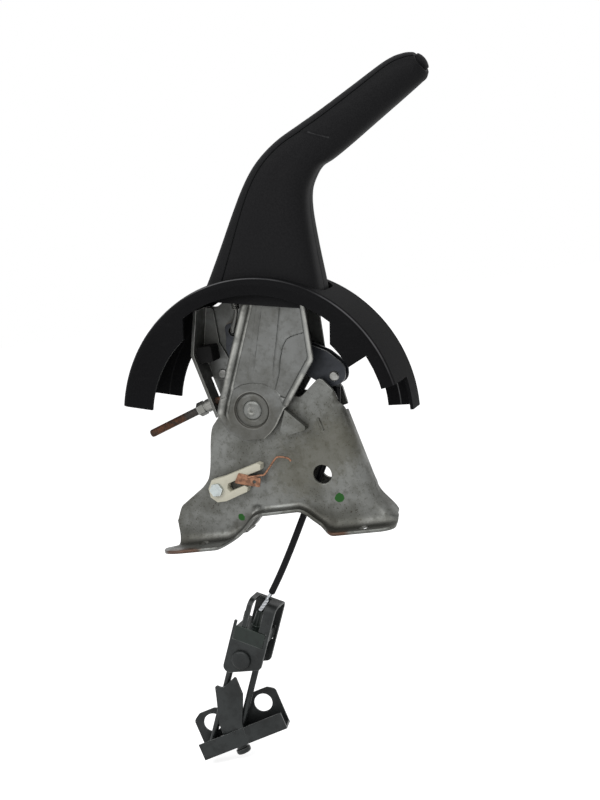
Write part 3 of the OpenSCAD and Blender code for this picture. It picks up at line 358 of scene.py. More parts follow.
stains, s_in, s_out = effect(
    "handling stains",
    {"Vector": "Vector", "Clean": "Color", "Dull": "Color", "Dirt": "Color", "Specks": "Float"},
    {"Colour": "Color", "Roughness": "Float", "Height": "Float"})
broad = noise(stains, s_in["Vector"], 28.0, 5.0, 0.6)
close = noise(stains, s_in["Vector"], 160.0, 4.0, 0.65)
specks = noise(stains, s_in["Vector"], 800.0, 3.0, 0.6)
stained = mix(stains, band(stains, broad, 0.38, 0.66), s_in["Clean"], s_in["Dull"])
stained = mix(stains, band(stains, close, 0.48, 0.68, 0.0, 0.75), stained, s_in["Dull"])
in_patches = band(stains, broad, 0.42, 0.6, 0.3, 1.0)
speckled = math(stains, "MULTIPLY", band(stains, specks, 0.59, 0.67), in_patches)
stained = mix(stains, math(stains, "MULTIPLY", speckled, s_in["Specks"]), stained, s_in["Dirt"])
stains.links.new(stained, s_out["Colour"])
broad_rough = band(stains, broad, 0.3, 0.7, 0.34, 0.52)
close_rough = band(stains, close, 0.3, 0.7, -0.05, 0.08)
stains.links.new(math(stains, "ADD", broad_rough, close_rough), s_out["Roughness"])
stains.links.new(math(stains, "ADD", specks, math(stains, "MULTIPLY", close, 1.5)), s_out["Height"])

wear, w_in, w_out = effect(
    "edge wear",
    {"Vector": "Vector", "Colour": "Color", "Bare": "Color", "Amount": "Float"},
    {"Colour": "Color", "Mask": "Float"})
edge = put(wear, "ShaderNodeAttribute", {"attribute_name": "edge"}).outputs["Fac"]
patchy = band(wear, noise(wear, w_in["Vector"], 90.0), 0.35, 0.6, 0.25, 1.0)
mask = math(wear, "MULTIPLY", math(wear, "MULTIPLY", edge, patchy), w_in["Amount"])
wear.links.new(mix(wear, mask, w_in["Colour"], w_in["Bare"]), w_out["Colour"])
wear.links.new(mask, w_out["Mask"])


def zinc(name, clean, dull, dirt, bare, metal=0.8, depth=0.08, specked=0.35):
    """Plated steel with stains and worn edges: the material, its tree, shader and coordinates, and its
    colour and bumps so far."""
    made, tree, shader, where = finish(name, metal)
    base = place(tree, stains, Vector=where, Clean=clean, Dull=dull, Dirt=dirt, Specks=specked)
    rim = place(tree, wear, Vector=where, Colour=base["Colour"], Bare=bare, Amount=0.7)
    tree.links.new(rim["Colour"], shader["Base Color"])
    tree.links.new(base["Roughness"], shader["Roughness"])
    return made, tree, shader, where, rim["Colour"], relief(tree, shader, base["Height"], depth, 0.0004)


def mark(tree, where, start, end, radius, soft, ragged=0.0):
    """1 within radius of the line from start to end, in millimetres, fading over soft, with an edge made
    uneven by ragged."""
    a, d = np.array(start) / 1000, (np.array(end) - np.array(start)) / 1000
    per_length = tuple(d / max(d @ d, 1e-12))
    from_a = put(tree, "ShaderNodeVectorMath", {"operation": "SUBTRACT"}, i0=where, i1=tuple(a)).outputs[0]
    share = put(tree, "ShaderNodeVectorMath", {"operation": "DOT_PRODUCT"}, i0=from_a, i1=per_length)
    share = put(tree, "ShaderNodeClamp", None, Value=share.outputs["Value"]).outputs[0]
    foot = put(tree, "ShaderNodeVectorMath", {"operation": "SCALE"}, i0=tuple(d), Scale=share).outputs[0]
    off = put(tree, "ShaderNodeVectorMath", {"operation": "DISTANCE"}, i0=from_a, i1=foot).outputs["Value"]
    uneven = math(tree, "MULTIPLY", math(tree, "SUBTRACT", noise(tree, where, 220.0), 0.5), ragged / 1000)
    return band(tree, math(tree, "ADD", off, uneven), radius / 1000, (radius + soft) / 1000, 1.0, 0.0)


def stain(tree, where, colour, tint, share, line, radius, soft, ragged=0.0):
    """The colour with a share of a tint laid over it along a line, as wide and as ragged as its mark."""
    laid = math(tree, "MULTIPLY", mark(tree, where, *line, radius, soft, ragged), share)
    return mix(tree, laid, colour, tint)


bracket_zinc, tree, shader, where, colour, bumps = zinc(
    "bracket_zinc", clean=(0.172, 0.176, 0.168, 1), dull=(0.096, 0.097, 0.087, 1),
    dirt=(0.035, 0.03, 0.022, 1), bare=(0.28, 0.28, 0.26, 1), specked=0.9)
oil, soot, rust_brown = (0.075, 0.07, 0.048, 1), (0.02, 0.018, 0.014, 1), (0.075, 0.03, 0.014, 1)
bend_shade, dab_green = (0.04, 0.038, 0.03, 1), (0.016, 0.075, 0.014, 1)
colour = stain(tree, where, colour, oil, 0.55, ((15, -12, 50), (58, -12, 70)), 6, 26, 30)
colour = stain(tree, where, colour, soot, 0.8, ((60, -12, 106), (66, -12, 92)), 1.5, 5, 8)
for line in (((-90, -39, 1), (-70, -39, 1)), ((40, -29, 0), (50, -29, 0))):
    colour = stain(tree, where, colour, rust_brown, 0.8, line, 2, 6, 12)
# Painted shade: darker bands along the feet's bends and under the arch's rim.
for line, size in ((((-86, -17, 4), (-48, -17, 4)), 2), (((46, -19, 5), (82, -19, 5)), 2),
                   (((-40, -14, 10), (-22, -14, 18)), 1), (((16, -14, 19), (36, -14, 9)), 2)):
    colour = stain(tree, where, colour, bend_shade, 0.6, line, size, 9, 9)
for spot, size in (((-34.7, -12, 18.4), 2.5), ((48.2, -12, 25.6), 3.4)):
    colour = stain(tree, where, colour, dab_green, 1.0, (spot, spot), size, 0.6, 3)
tree.links.new(colour, shader["Base Color"])
pip_dent = mark(tree, where, (-21, -14, 23), (-18, -14, 21), 1.0, 5)
line_dent = mark(tree, where, (42, -12, 88), (44, -12, 80), 0.3, 1.6)
dents = math(tree, "MULTIPLY", math(tree, "ADD", pip_dent, line_dent), -1.0)
relief(tree, shader, dents, 0.7, 0.0016, bumps)
paint(eased("bracket_far"), bracket_zinc)

# Outline of the near wall, x and z from the pivot in millimetres. Its front edge runs straight
# down to the flare and then round it, an arc about flare_at, to the front foot's end.
lower_edge = np.array([
    [-81, -102], [-36, -102], [-26, -96], [-13, -83.5], [27, -83], [36, -92], [48, -102], [100, -102]])
upper_edge = np.array([
    [-81, -84], [-77, -71], [-53, -56], [-46, -48], [-39.5, -12], [-22, 6], [-10, 22], [18, 18], [38, 4],
    [57, 18.5], [66.5, 6], [69.4, -8], [83.3, -71.2]])
rear_end, front_end = -81, 98
edge_x, edge_z, edge_slope = 69.4, -8, 0.22
flare_at, flare_r = np.array([118.5, -63.5]), 36.0
flare_x, flare_z = 83.3, -71.2
wall_y, sheet_t, corner_r = -12.0, 2.5, 11.0
arch_bend, rear_bend, front_bend, widest_bend = 5, 9, 11, 6.0
arch_reach, rear_reach, front_reach = 6.5, 27, 17
rear_round, front_round = 12.0, 9.0
tab_long, end_swell = 8, 2.0
pip_at, pip_height, pip_spread = (-12, -79), 1.3, 12
web_from, web_to, web_round, web_left, web_bend = 70, 97.9, 16.0, 0.5, 9
wall_hole = ([0, 2], np.array([45.7, -56.8]), 7.5)
bolt_holes = [([0, 1], np.array([bolt_x, -21.0]), 4.25) for bolt_x in (-58.0, 74.0)]


def ramp(value, low, high):
    """0 at low and 1 at high, with a smooth start and end: 3 t^2 - 2 t^3."""
    share = np.clip((value - low) / (high - low), 0, 1)
    return share * share * (3 - 2 * share)


def ridge(off, width):
    """1 along a line, falling off to both sides: exp(-(off / width)^2)."""
    return np.exp(-(off / width) ** 2)


def rounded(off, radius):
    """How far a round edge lies below the face at a distance off from the edge."""
    return radius - np.sqrt(radius ** 2 - np.clip(radius - off, 0, radius) ** 2)


def softened(points, x, reach):
    """Heights along a line of points, averaged over reach to each side, which rounds its corners."""
    steps = np.linspace(-reach, reach, 11)
    return np.mean([np.interp(x + step, points[:, 0], points[:, 1]) for step in steps], axis=0)


def pressed(name, grids, worn, holes, thickness, body):
    """A sheet over grids of points, in millimetres from the pivot, welded where they meet, with a thickness
    behind it. Worn holds the attribute edge for each grid, from 0 to 1. A hole is two axes, its middle on
    them and its radius: the quads inside it go, and the points round it move out or in to its circle."""
    points = np.concatenate([g.reshape(-1, 3) for g in grids])
    edges = np.concatenate([w.ravel() for w in worn])
    quads, first = [], 0
    for g in grids:
        n = first + np.arange(g.shape[0] * g.shape[1]).reshape(g.shape[:2])
        quads.append(np.stack([n[:-1, :-1], n[:-1, 1:], n[1:, 1:], n[1:, :-1]], -1).reshape(-1, 4))
        first += g.shape[0] * g.shape[1]
    quads = np.concatenate(quads)
    for axes, middle, radius in holes:
        from_middle = points[:, axes] - middle
        off = np.linalg.norm(from_middle, axis=1)
        gone = (off[quads] < radius).all(1)
        rim = np.intersect1d(quads[gone], quads[~gone])
        points[rim[:, None], axes] = middle + from_middle[rim] * (radius / off[rim])[:, None]
        quads = quads[~gone]
    mesh = bpy.data.meshes.new(name)
    mesh.from_pydata((pivot + points / 1000).tolist(), [], quads.tolist())
    mesh.attributes.new("edge", "FLOAT", "POINT").data.foreach_set("value", edges.astype(np.float32))
    build = bmesh.new()
    build.from_mesh(mesh)
    bmesh.ops.delete(build, geom=[v for v in build.verts if not v.link_faces], context="VERTS")
    bmesh.ops.remove_doubles(build, verts=build.verts, dist=2e-5)
    build.to_mesh(mesh)
    build.free()
    mesh.shade_smooth()
    piece = bpy.data.objects.new(name, mesh)
    scene.collection.objects.link(piece)
    behind = piece.modifiers.new("sheet", "SOLIDIFY")
    behind.thickness = thickness / 1000
    behind.offset = -1.0
    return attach(piece, body)


# The wall, the bend at its foot and the flange, column by column along x
x = np.concatenate([np.linspace(rear_end, 66, 148), np.linspace(66.3, front_end, 100)])[:, None]
bottom = softened(lower_edge, x, 5.0)
on_flare = flare_at[1] - np.sqrt(flare_r ** 2 - (flare_at[0] - np.maximum(x, flare_x)) ** 2)
top = np.where(x > flare_x, on_flare, softened(upper_edge, x, 1.5 + 1.5 * (x < 60)))
seat = bottom + sheet_t
bend_r = arch_bend + ramp(x, -26, -38) * (rear_bend - arch_bend)
bend_r = bend_r + ramp(x, 38, 50) * (front_bend - arch_bend)
bend_r = np.minimum(bend_r, 0.8 * (top - bottom - sheet_t))
bend_out = np.minimum(bend_r, widest_bend)
reach = arch_reach + ramp(x, -30, -42) * (rear_reach - arch_reach)
reach = reach + ramp(x, 40, 52) * (front_reach - arch_reach)
reach = reach - rounded(x - rear_end, rear_round) - rounded(front_end - x, front_round)
down = np.concatenate([[0, 0.006, 0.012], np.linspace(0.03, 1, 64)])
bend = np.radians(np.linspace(0, 90, 13)[1:])
out = np.linspace(0, 1, 19)[1:]
wall_z = top + (seat + bend_r - top) * down
skin_z = np.hstack([wall_z, seat + bend_r * (1 - np.sin(bend)), seat + 0 * out])
flange_out = bend_out + np.maximum(reach - bend_out, 0.4) * out
skin_y = wall_y - np.hstack([0 * wall_z, bend_out * (1 - np.cos(bend)), flange_out])

# The rounded front corner, the small pip over the arch, the rear foot's tab and the front foot's end
round_flare = flare_at[0] - np.sqrt(np.maximum(flare_r ** 2 - (skin_z - flare_at[1]) ** 2, 0))
front_x = np.where(skin_z > flare_z, edge_x + (edge_z - skin_z) * edge_slope, round_flare)
skin_y = skin_y + rounded(np.maximum(front_x - x, 0) * 0.977, corner_r) * ramp(skin_z, 0, -10)
from_pip = (x - pip_at[0]) ** 2 + (skin_z - pip_at[1]) ** 2
skin_y = skin_y + pip_height * np.exp(-from_pip / pip_spread)
skin_x = x - tab_long * ramp(x, -64, -81) * ramp(skin_y, -19, -26)
at_end = ramp(x, 86, front_end) * ramp(skin_z, -101.5, -97) * ramp(skin_z, -92.4, -95.4)
skin_x = skin_x + end_swell * at_end
skin = np.stack([skin_x, skin_y, skin_z], -1)

# The web, from the wall's front edge across to a round bend at the far side
on_web = x[:, 0] > web_from
front = skin[on_web][:, 0]
front_y = front[:, 1:2]
along_front = np.gradient(front, axis=0)
inward = np.column_stack([along_front[:, 2], 0 * along_front[:, 0], -along_front[:, 0]])
inward = inward / np.linalg.norm(inward, axis=1, keepdims=True)
far_turn = np.radians(np.linspace(0, 90, 9))
far_r = 0.3 + (web_bend - 0.3) * ramp(front[:, 2:], -90, -72)
web_in = np.hstack([np.zeros((len(front), 8)), far_r * (1 - np.cos(far_turn))])
web_end = rounded(np.maximum(web_to - x[on_web], 0), web_round) / web_round
far_y = -wall_y - web_end * (-wall_y - front_y - web_left)
across = front_y + (far_y - far_r - front_y) * np.linspace(0, 1, 9)[:8]
web_y = np.hstack([across, far_y - far_r * (1 - np.sin(far_turn))])
web = front[:, None] + web_in[..., None] * inward[:, None]
web[..., 1] = web_y
cut_edge = ridge(down * (top - seat), 0.7)
cut_edge = np.hstack([cut_edge, np.zeros((len(x), skin_z.shape[1] - len(down)))]) * (x < 68)
bracket = pressed("bracket_skin", [skin, web[::-1]], [cut_edge, 0 * web_y], [wall_hole] + bolt_holes, sheet_t,
                  body_of["bracket_near"])
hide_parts("bracket_near")
paint(bracket, bracket_zinc)


def block(name, outline, back_y, face_y, body):
    """A flat block between two planes: the outline at each level's y, moved in by the level's inset along its
    corners' bisectors, so that the edge of its face is eased."""
    step = np.roll(outline, -1, 0) - outline
    side = np.column_stack([-step[:, 1], step[:, 0]]) / np.linalg.norm(step, axis=1, keepdims=True)
    before = np.roll(side, 1, 0)
    inward = (side + before) / (1 + np.sum(side * before, axis=1, keepdims=True))
    ahead = np.roll(outline, -1, 0)
    inward = inward * np.sign(np.sum(outline[:, 0] * ahead[:, 1] - ahead[:, 0] * outline[:, 1]))
    levels = [(0, back_y), (0, face_y + 0.7), (0.2, face_y + 0.2), (0.7, face_y)]
    return surface(name, np.stack([in_plane(outline + inset * inward, y) for inset, y in levels]), body, 30)


tab_outline = np.array([
    [27, -2], [41, -17], [40.8, -19.6], [39, -20.7], [24.6, -22.9], [23, -22.3], [20, -18.5]])
tab = block("stop_tab", tab_outline, -11.5, -19, body_of["bracket_near"])
paint(tab, bracket_zinc)

# Ratchet: a toothed sector of phosphated steel, held inside the far wall by bright zinc
# plated rivets. The other bright pins and rods share their material.
phosphate = zinc("dark_phosphate", clean=(0.03, 0.033, 0.04, 1), dull=(0.018, 0.02, 0.024, 1),
                 dirt=(0.01, 0.009, 0.008, 1), bare=(0.12, 0.12, 0.12, 1), metal=0.6)[0]
paint(eased("ratchet_sector", 0.0003), phosphate)
bright_zinc = zinc("bright_zinc", clean=(0.3, 0.3, 0.29, 1), dull=(0.2, 0.2, 0.185, 1),
                   dirt=(0.08, 0.07, 0.06, 1), bare=(0.5, 0.5, 0.48, 1), metal=0.9)[0]
paint(eased("sector_rivets", 0.0002), bright_zinc)

# Warning switch: an aged cream moulding, an open fork held by one hexagon screw, with a
# tarnished copper tag and a bent copper wire that the lever presses.
fork_outline = np.array([
    [-42.9, -50.6], [-32.6, -49.0], [-2.9, -41.0], [-0.1, -42.5], [-0.9, -46.7], [-15.1, -50.4],
    [-29.5, -54.7], [-30.8, -58.3], [-29.1, -61.2], [-16.1, -57.3], [-13.8, -59.1], [-15.0, -62.7],
    [-33.9, -68.5], [-41.2, -68.6], [-46.2, -64.1], [-46.8, -57.1]])
contact_points = np.array([
    [-12, -51], [-1.5, -50.5], [2.4, -50.1], [7.5, -45.1], [13, -39.3], [16.3, -37.7], [23.4, -39.3],
    [26, -42]])
contact_y, contact_r, contact_rings = -21.6, 0.0008, 120
cream, tree, shader, where = finish("cream_moulding", 0.0, 0.5, 0.4)
marks = place(tree, grain, Vector=where, Scale=700.0, Depth=0.5)
aged = mix(tree, marks["Cloud"], (0.58, 0.56, 0.46, 1), (0.44, 0.42, 0.33, 1))
tree.links.new(aged, shader["Base Color"])
relief(tree, shader, marks["Height"], 0.1, 0.0003)
fork = block("switch_fork", fork_outline, -12.3, -20, body_of["switch_body"])
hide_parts("switch_body")
paint(fork, cream)
screw_zinc = zinc("screw_zinc", clean=(0.48, 0.53, 0.53, 1), dull=(0.34, 0.37, 0.37, 1),
                  dirt=(0.12, 0.11, 0.09, 1), bare=(0.7, 0.72, 0.72, 1), metal=0.85)[0]
paint(eased("switch_screw", 0.0004), screw_zinc)
copper, tree, shader, where = finish("tarnished_copper", 0.9, 0.45)
tone = noise(tree, where, 300.0)
tarnish = mix(tree, band(tree, tone, 0.35, 0.65), (0.29, 0.15, 0.092, 1), (0.14, 0.075, 0.05, 1))
tree.links.new(tarnish, shader["Base Color"])
tree.links.new(band(tree, tone, 0.3, 0.7, 0.35, 0.55), shader["Roughness"])
paint(eased("switch_terminal", 0.0002), copper)
contact_places = np.linspace(0, len(contact_points) - 1, contact_rings)
contact_line = in_plane(spline(contact_points, contact_places), contact_y)
contact_radius = np.full((contact_rings, len(around)), contact_r)
contact = surface("contact_wire", tube(contact_line, contact_radius, around), body_of["switch_contact"])
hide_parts("switch_contact")
paint(contact, copper)

# Lever arms: two pressed sheets of zinc plated steel, dished at the pivot and turned up
# along their edges, with scratches down to bright metal. They turn on a domed rivet.


def hoop(tree, where, axis, outer, outer_soft, inner, inner_soft):
    """1 on a ring about an axis, from its inner to its outer radius in millimetres, fading over soft."""
    whole = mark(tree, where, *axis, outer, outer_soft)
    return math(tree, "SUBTRACT", whole, mark(tree, where, *axis, inner, inner_soft))


arm_zinc, tree, shader, where, colour, _ = zinc(
    "arm_zinc", clean=(0.158, 0.162, 0.158, 1), dull=(0.096, 0.097, 0.09, 1),
    dirt=(0.05, 0.044, 0.034, 1), bare=(0.45, 0.45, 0.42, 1))
scratch, boss_dirt = (0.6, 0.6, 0.58, 1), (0.05, 0.047, 0.036, 1)
painted_groove_shade, arm_rust = (0.018, 0.016, 0.013, 1), (0.12, 0.062, 0.02, 1)
for line in (((20.6, -16, 125), (23.2, -16, 122.9)), ((-18.6, -17, 120.8), (-13.2, -17, 123)),
             ((15.6, -17, 109), (18.2, -17, 105.6))):
    colour = stain(tree, where, colour, scratch, 0.8, line, 0.1, 0.5, 0.8)
colour = stain(tree, where, colour, boss_dirt, 0.5, ((-12, -16, 96), (-4, -16, 94)), 14, 9, 12)
# Painted shade: a dark ring in the dish's groove round the pivot, and a dark spot at the notch below it.
notch = mark(tree, where, (-8, -16, 80), (-7, -16, 80), 1.6, 0.7, 1.5)
pivot_axis = ((-8, -30, 102), (-8, 0, 102))
ring = hoop(tree, where, pivot_axis, 14.1, 0.5, 12.9, 0.9)
dark = math(tree, "MAXIMUM", notch, math(tree, "MULTIPLY", ring, 0.85))
colour = mix(tree, dark, colour, painted_groove_shade)
colour = stain(tree, where, colour, arm_rust, 0.7, ((-25, 15, 165), (-22, 15, 166)), 1.5, 4, 6)
tree.links.new(colour, shader["Base Color"])
paint(eased("pivot_rivet", 0.0003), bracket_zinc)
for name in ("lever_arm_far", "adjuster_bracket"):
    paint(eased(name, 0.0005), arm_zinc)

# Outlines of the near arm and its pressed shapes: z and x from the pivot, but x and z for boss_top
left_edge = np.array([
    [-23, -7], [-20.5, -14], [-16, -21], [-8, -25.4], [0, -26.6], [8, -23.6], [108, 21.5], [114, 22],
    [152, 22]])
right_edge = np.array([
    [-23, 6], [-20, 11.5], [-14, 18], [-6, 23.5], [0, 28], [3, 31], [34, 56], [84, 57], [94, 52], [152, 52]])
channel_left = np.array([[10, 0], [24.4, 4.4], [52.4, 13.3], [80, 22.5]])
channel_right = np.array([[10, 17.5], [16.6, 20.1], [47, 29.8], [74.7, 38]])
pocket_edge = np.array([
    [-30, 60], [2, 34], [7, 25], [13.3, 20.4], [25.9, 26.2], [37.1, 29], [45.8, 32.6], [51.8, 37.2],
    [54.2, 44], [56, 60], [70, 90]])
boss_top = np.array([
    [-27, 8], [-16, 16.4], [-11.3, 18.8], [-4.5, 21.3], [4.3, 21.5], [13.7, 19.8], [20.1, 15.5], [23, 8.8],
    [28, 1]])
arm_y, arm_t, dish_r, dish_t, neck_in = -17.0, 2.0, 15.0, 1.8, 5
left_height, right_height, left_band, right_band = 3.8, 2.6, 7, 5
boss_depth, channel_depth, ridge_height, pocket_depth = 0.9, 0.8, 0.4, 1.5
z = np.concatenate([np.linspace(-23, 80, 190), np.linspace(81, 152, 40)])[:, None]
left_x, right_x = softened(left_edge, z, 1.5), softened(right_edge, z, 1.5)
inner = (right_x - left_x - left_band - right_band) * np.linspace(0, 1, 100)[1:-1]
arm_x = np.hstack([
    left_x + np.linspace(0, left_band, 24), left_x + left_band + inner,
    right_x - np.linspace(right_band, 0, 18)])
arm_z = arm_x * 0 + z
from_left = (arm_x - left_x) * 0.912
from_right = (right_x - arm_x) * (0.777 + 0.223 * ramp(z, 30, 38))
left_rim = left_height * ramp(from_left, 3.1, 2.0) - rounded(from_left, 1.2)
left_rim = left_rim - 0.5 * ridge(from_left - 4, 0.7) + 0.5 * ridge(from_left - 5.4, 0.5)
right_rim = right_height * ramp(from_right, 2.3, 1.3) - rounded(from_right, 0.9)
right_rim = right_rim - 0.3 * ridge(from_right - 2.9, 0.5)
on_boss = ramp(arm_z - softened(boss_top, arm_x, 1.0), 1.2, -0.4)
past_left, past_right = arm_x - softened(channel_left, z, 1.0), arm_x - softened(channel_right, z, 1.0)
channel_run = ramp(z, 20, 34)
in_channel = ramp(past_left, -1.1, 1.1) * ramp(past_right, 1.1, -1.1) * channel_run
ridges = (ridge(past_left + 1.6, 1.2) + ridge(past_right - 1.6, 1.2)) * channel_run
in_pocket = ramp(arm_x - softened(pocket_edge, z, 1.0), -0.9, 0.9) * ramp(from_right, 1.5, 4)
height = left_rim * ramp(z, -8, 4) * ramp(z, 86, 78) + right_rim * ramp(z, -1, 5) * ramp(z, 82, 74)
height = height - boss_depth * on_boss - channel_depth * in_channel
height = height + (ridge_height * ridges - pocket_depth * in_pocket) * (1 - on_boss)
arm_grid = np.stack([arm_x, arm_y + neck_in * ramp(z, 84, 100) - height, arm_z], -1)
# The tops of the rims and the right edge take the lighter bare colour: partly wear, partly a painted
# highlight along the rims.
left_rim_wear_and_sheen = (ridge(from_left - 1.3, 0.8) + 0.8 * ridge(from_left - 5.4, 0.4)) * ramp(z, -12, 0)
rim_wear_and_sheen = np.minimum(left_rim_wear_and_sheen + ridge(from_right - 0.6, 0.45), 1)
arm = pressed("arm_near_sheet", [arm_grid[::-1]], [rim_wear_and_sheen[::-1]], [([0, 2], np.zeros(2), dish_r)], arm_t,
              body_of["lever_arm_near"])
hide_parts("lever_arm_near")
paint(arm, arm_zinc)

# The dish round the pivot: radius and y of its profile, turned about the pivot's axis
dish = np.array([
    [15.6, -15.9], [15.2, -16.2], [14.8, -16.2], [14.4, -15.9], [14.2, -15.2], [13.9, -14.7], [13.2, -14.5],
    [12, -14.6], [10.6, -14.9], [9.6, -14.9], [8, -14.6], [5.4, -14.6]])
dish = spline(dish, np.linspace(0, len(dish) - 1, 60))
dish_out, dish_y = dish.T
dish_turn = np.linspace(0, 2 * np.pi, 97)[:, None]
dish_grid = np.stack([dish_out * np.cos(dish_turn), 0 * dish_turn + dish_y, dish_out * np.sin(dish_turn)], -1)
dish_wear = 0 * dish_turn + 0.4 * ridge(dish_out - 15, 0.25)
boss = pressed("pivot_dish", [dish_grid], [dish_wear], [], dish_t, body_of["lever_arm_near"])
paint(boss, arm_zinc)
for name in ("bracket_rivet", "core_pin"):
    paint(eased(name, 0.0002), bright_zinc)

# Adjuster: a threaded rod, rusted where it stands out behind its bright nut, and the
# rubber block that the lever comes to rest on.
rod_at, rod_dir = np.array([-45, 4.5]), np.array([0.952, 0.306])
thread_from, thread_to, thread_turns, thread_pitch = -52.2, -6.2, 37, 0.00125
root_r, crest_height = 0.00283, 0.00035
rusty_thread, tree, shader, where = finish("rusty_thread", 0.4, 0.7)
spots = noise(tree, where, 260.0, 5.0, 0.65)
rusted = mix(tree, band(tree, spots, 0.35, 0.65), (0.035, 0.022, 0.015, 1), (0.12, 0.048, 0.022, 1))
clean_steel = (0.05, 0.05, 0.048, 1)
rusted = stain(tree, where, rusted, clean_steel, 0.85, ((-53, 0, 106.5), (-64, 0, 103)), 4, 8, 6)
tree.links.new(rusted, shader["Base Color"])
relief(tree, shader, spots, 0.4, 0.0004)
thread_run = np.linspace(thread_from, thread_to, thread_turns * 10)[:, None]
thread_phase = thread_run / 1000 / thread_pitch - around / (2 * np.pi)
crest = np.clip(1.6 * np.abs(2 * (thread_phase - np.floor(thread_phase)) - 1) - 0.3, 0, 1)
thread_radius = root_r + crest_height * crest * (thread_run > thread_from + 0.6)
thread_line = in_plane(rod_at + thread_run * rod_dir)
thread = surface("rod_thread", tube(thread_line, thread_radius, around), body_of["adjuster_rod"])
paint(thread, rusty_thread)
paint(frame["nodes"]["adjuster_rod"], rusty_thread)
paint(eased("adjuster_nut", 0.0003), bright_zinc)


def moulding(name, low, high, rough_low, rough_high, gloss, scale, depth, scuffed=0.0):
    """A black moulding: colour and roughness vary with the cloud, and fine streaks lighten it where it is
    scuffed. Gives the material, its tree, shader and coordinates, and its colour so far."""
    made, tree, shader, where = finish(name, 0.0, rough_low, gloss)
    marks = place(tree, grain, Vector=where, Scale=scale, Depth=1.0)
    stretched = put(tree, "ShaderNodeVectorMath", {"operation": "MULTIPLY"}, i0=where, i1=(40.0, 40.0, 300.0))
    streaks = band(tree, noise(tree, stretched.outputs[0], 1.0, 4.0, 0.7), 0.56, 0.72)
    streaks = math(tree, "MULTIPLY", streaks, scuffed)
    colour = mix(tree, math(tree, "MULTIPLY", marks["Cloud"], 0.4), low, high)
    colour = mix(tree, band(tree, marks["Height"], 0.35, 0.65, 0.0, 0.6), colour, high)
    colour = mix(tree, streaks, colour, (0.03, 0.03, 0.031, 1))
    tree.links.new(colour, shader["Base Color"])
    tree.links.new(band(tree, marks["Cloud"], 0, 1, rough_low, rough_high), shader["Roughness"])
    relief(tree, shader, marks["Height"], depth, 0.0003)
    return made, tree, shader, where, colour


rubber = moulding("stop_rubber", low=(0.006, 0.006, 0.006, 1), high=(0.01, 0.01, 0.01, 1), rough_low=0.6,
                  rough_high=0.75, gloss=0.15, scale=500.0, depth=0.3)[0]
paint(eased("bump_stop", 0.0008), rubber)

# Link and pawl: blackened steel plates on bright pins. The link hangs on the pivot and
# carries the cable, and the pawl drops into the sector's teeth.
for name in ("cable_link", "pawl", "pawl_pin"):
    paint(eased(name, 0.0003), phosphate)
for name in ("rod_pin", "link_pin"):
    paint(eased(name, 0.0002), bright_zinc)

# Covers: two half shells and a strip along the lever's back, moulded in black plastic and
# clipped over the steel tube. Fine open seams part them, and the grip stands proud of the neck.
# A station is rear x, rear z, front x, front z, half width, squareness and the strip's depth.
stations = np.array([
    [-29, 90, 68.5, 70, 22, 5, 15], [-21.5, 99, 69, 86, 21, 5, 14.5],
    [-6.5, 123.7, 68.3, 116.2, 19.6, 4.4, 12], [7.5, 147.8, 68.6, 142.2, 18.8, 3.8, 10],
    [19, 166.6, 71.3, 157.4, 17.8, 3.4, 8.6], [29.6, 180.6, 77, 167.3, 17, 3.1, 8],
    [40.7, 190.7, 83.4, 173.8, 16.2, 2.9, 7.4], [54.2, 199.4, 91.4, 177.1, 15.6, 2.7, 6.8],
    [71.4, 207.1, 99.9, 181.3, 15.2, 2.6, 6.4], [91.4, 215.9, 111.5, 187.7, 15, 2.5, 6],
    [118.3, 228.6, 131.4, 199.2, 15, 2.5, 5.6], [141.1, 239.5, 153.2, 211.7, 14.8, 2.4, 5],
    [151.2, 243.2, 163.4, 217.6, 14, 2.3, 4.4], [157.6, 244.2, 168.8, 220.8, 12.8, 2.2, 4],
    [162.2, 244.3, 172.7, 223.2, 11.6, 2.1, 3.6], [166.7, 243.5, 175, 227.2, 9.4, 2, 3.2]])
shell_t, seam_gap, seam_round, under_round, end_round = 2.5, 0.55, 0.7, 0.3, 0.8
crease_at, crease_height = np.array([96.6, 194.2]), 0.9
crease_sides = np.array([[0.999, 0.385], [0.038, 0.923]])
last, last_gap = len(stations) - 1, 4.6
to_tip = np.concatenate([np.linspace(0, 14.4, 150), last - 0.6 * np.linspace(1, 0, 14)[1:] ** 1.6])
rows = spline(stations, to_tip)
rear, front = rows[:, :2], rows[:, 2:4]
half_width, squareness, strip_depth = rows[:, 4:5], rows[:, 5:6], rows[:, 6:7]
half_depth = np.linalg.norm(front - rear, axis=1)[:, None] / 2


def section(inset, angle):
    """Points of every section, in millimetres: middle + (half depth - inset) c|c|^(2/n-1) axis
    + (half width - inset) s|s|^(2/n-1) y, with c and s the cosine and sine of the angle, which is 0 at the
    front and pi at the rear, and n the squareness."""
    axis = (front - rear) / 2 / half_depth
    c, s = (np.sign(f(angle)) * np.abs(f(angle)) ** (2 / squareness) for f in (np.cos, np.sin))
    flat = ((front + rear) / 2)[:, None] + ((half_depth - inset) * c)[..., None] * axis[:, None]
    return np.stack([flat[..., 0], (half_width - inset) * s, flat[..., 1]], -1)


def seam_angle(inset, depth):
    """The angle on a section, set in by inset, at a depth from its rear."""
    return np.pi - np.arccos(((half_depth - depth) / (half_depth - inset)) ** (squareness / 2))


def spread(start, stop, shares):
    """Angles from start to stop that lie at these shares of the section's length, and that length."""
    close_set = start + (stop - start) * np.linspace(0, 1, 1500)
    steps = np.linalg.norm(np.diff(section(0, close_set), axis=1), axis=2)
    length = np.cumsum(np.pad(steps, ((0, 0), (1, 0))), axis=1)
    return np.array([np.interp(shares * l[-1], l, a) for l, a in zip(length, close_set)]), length[:, -1:]


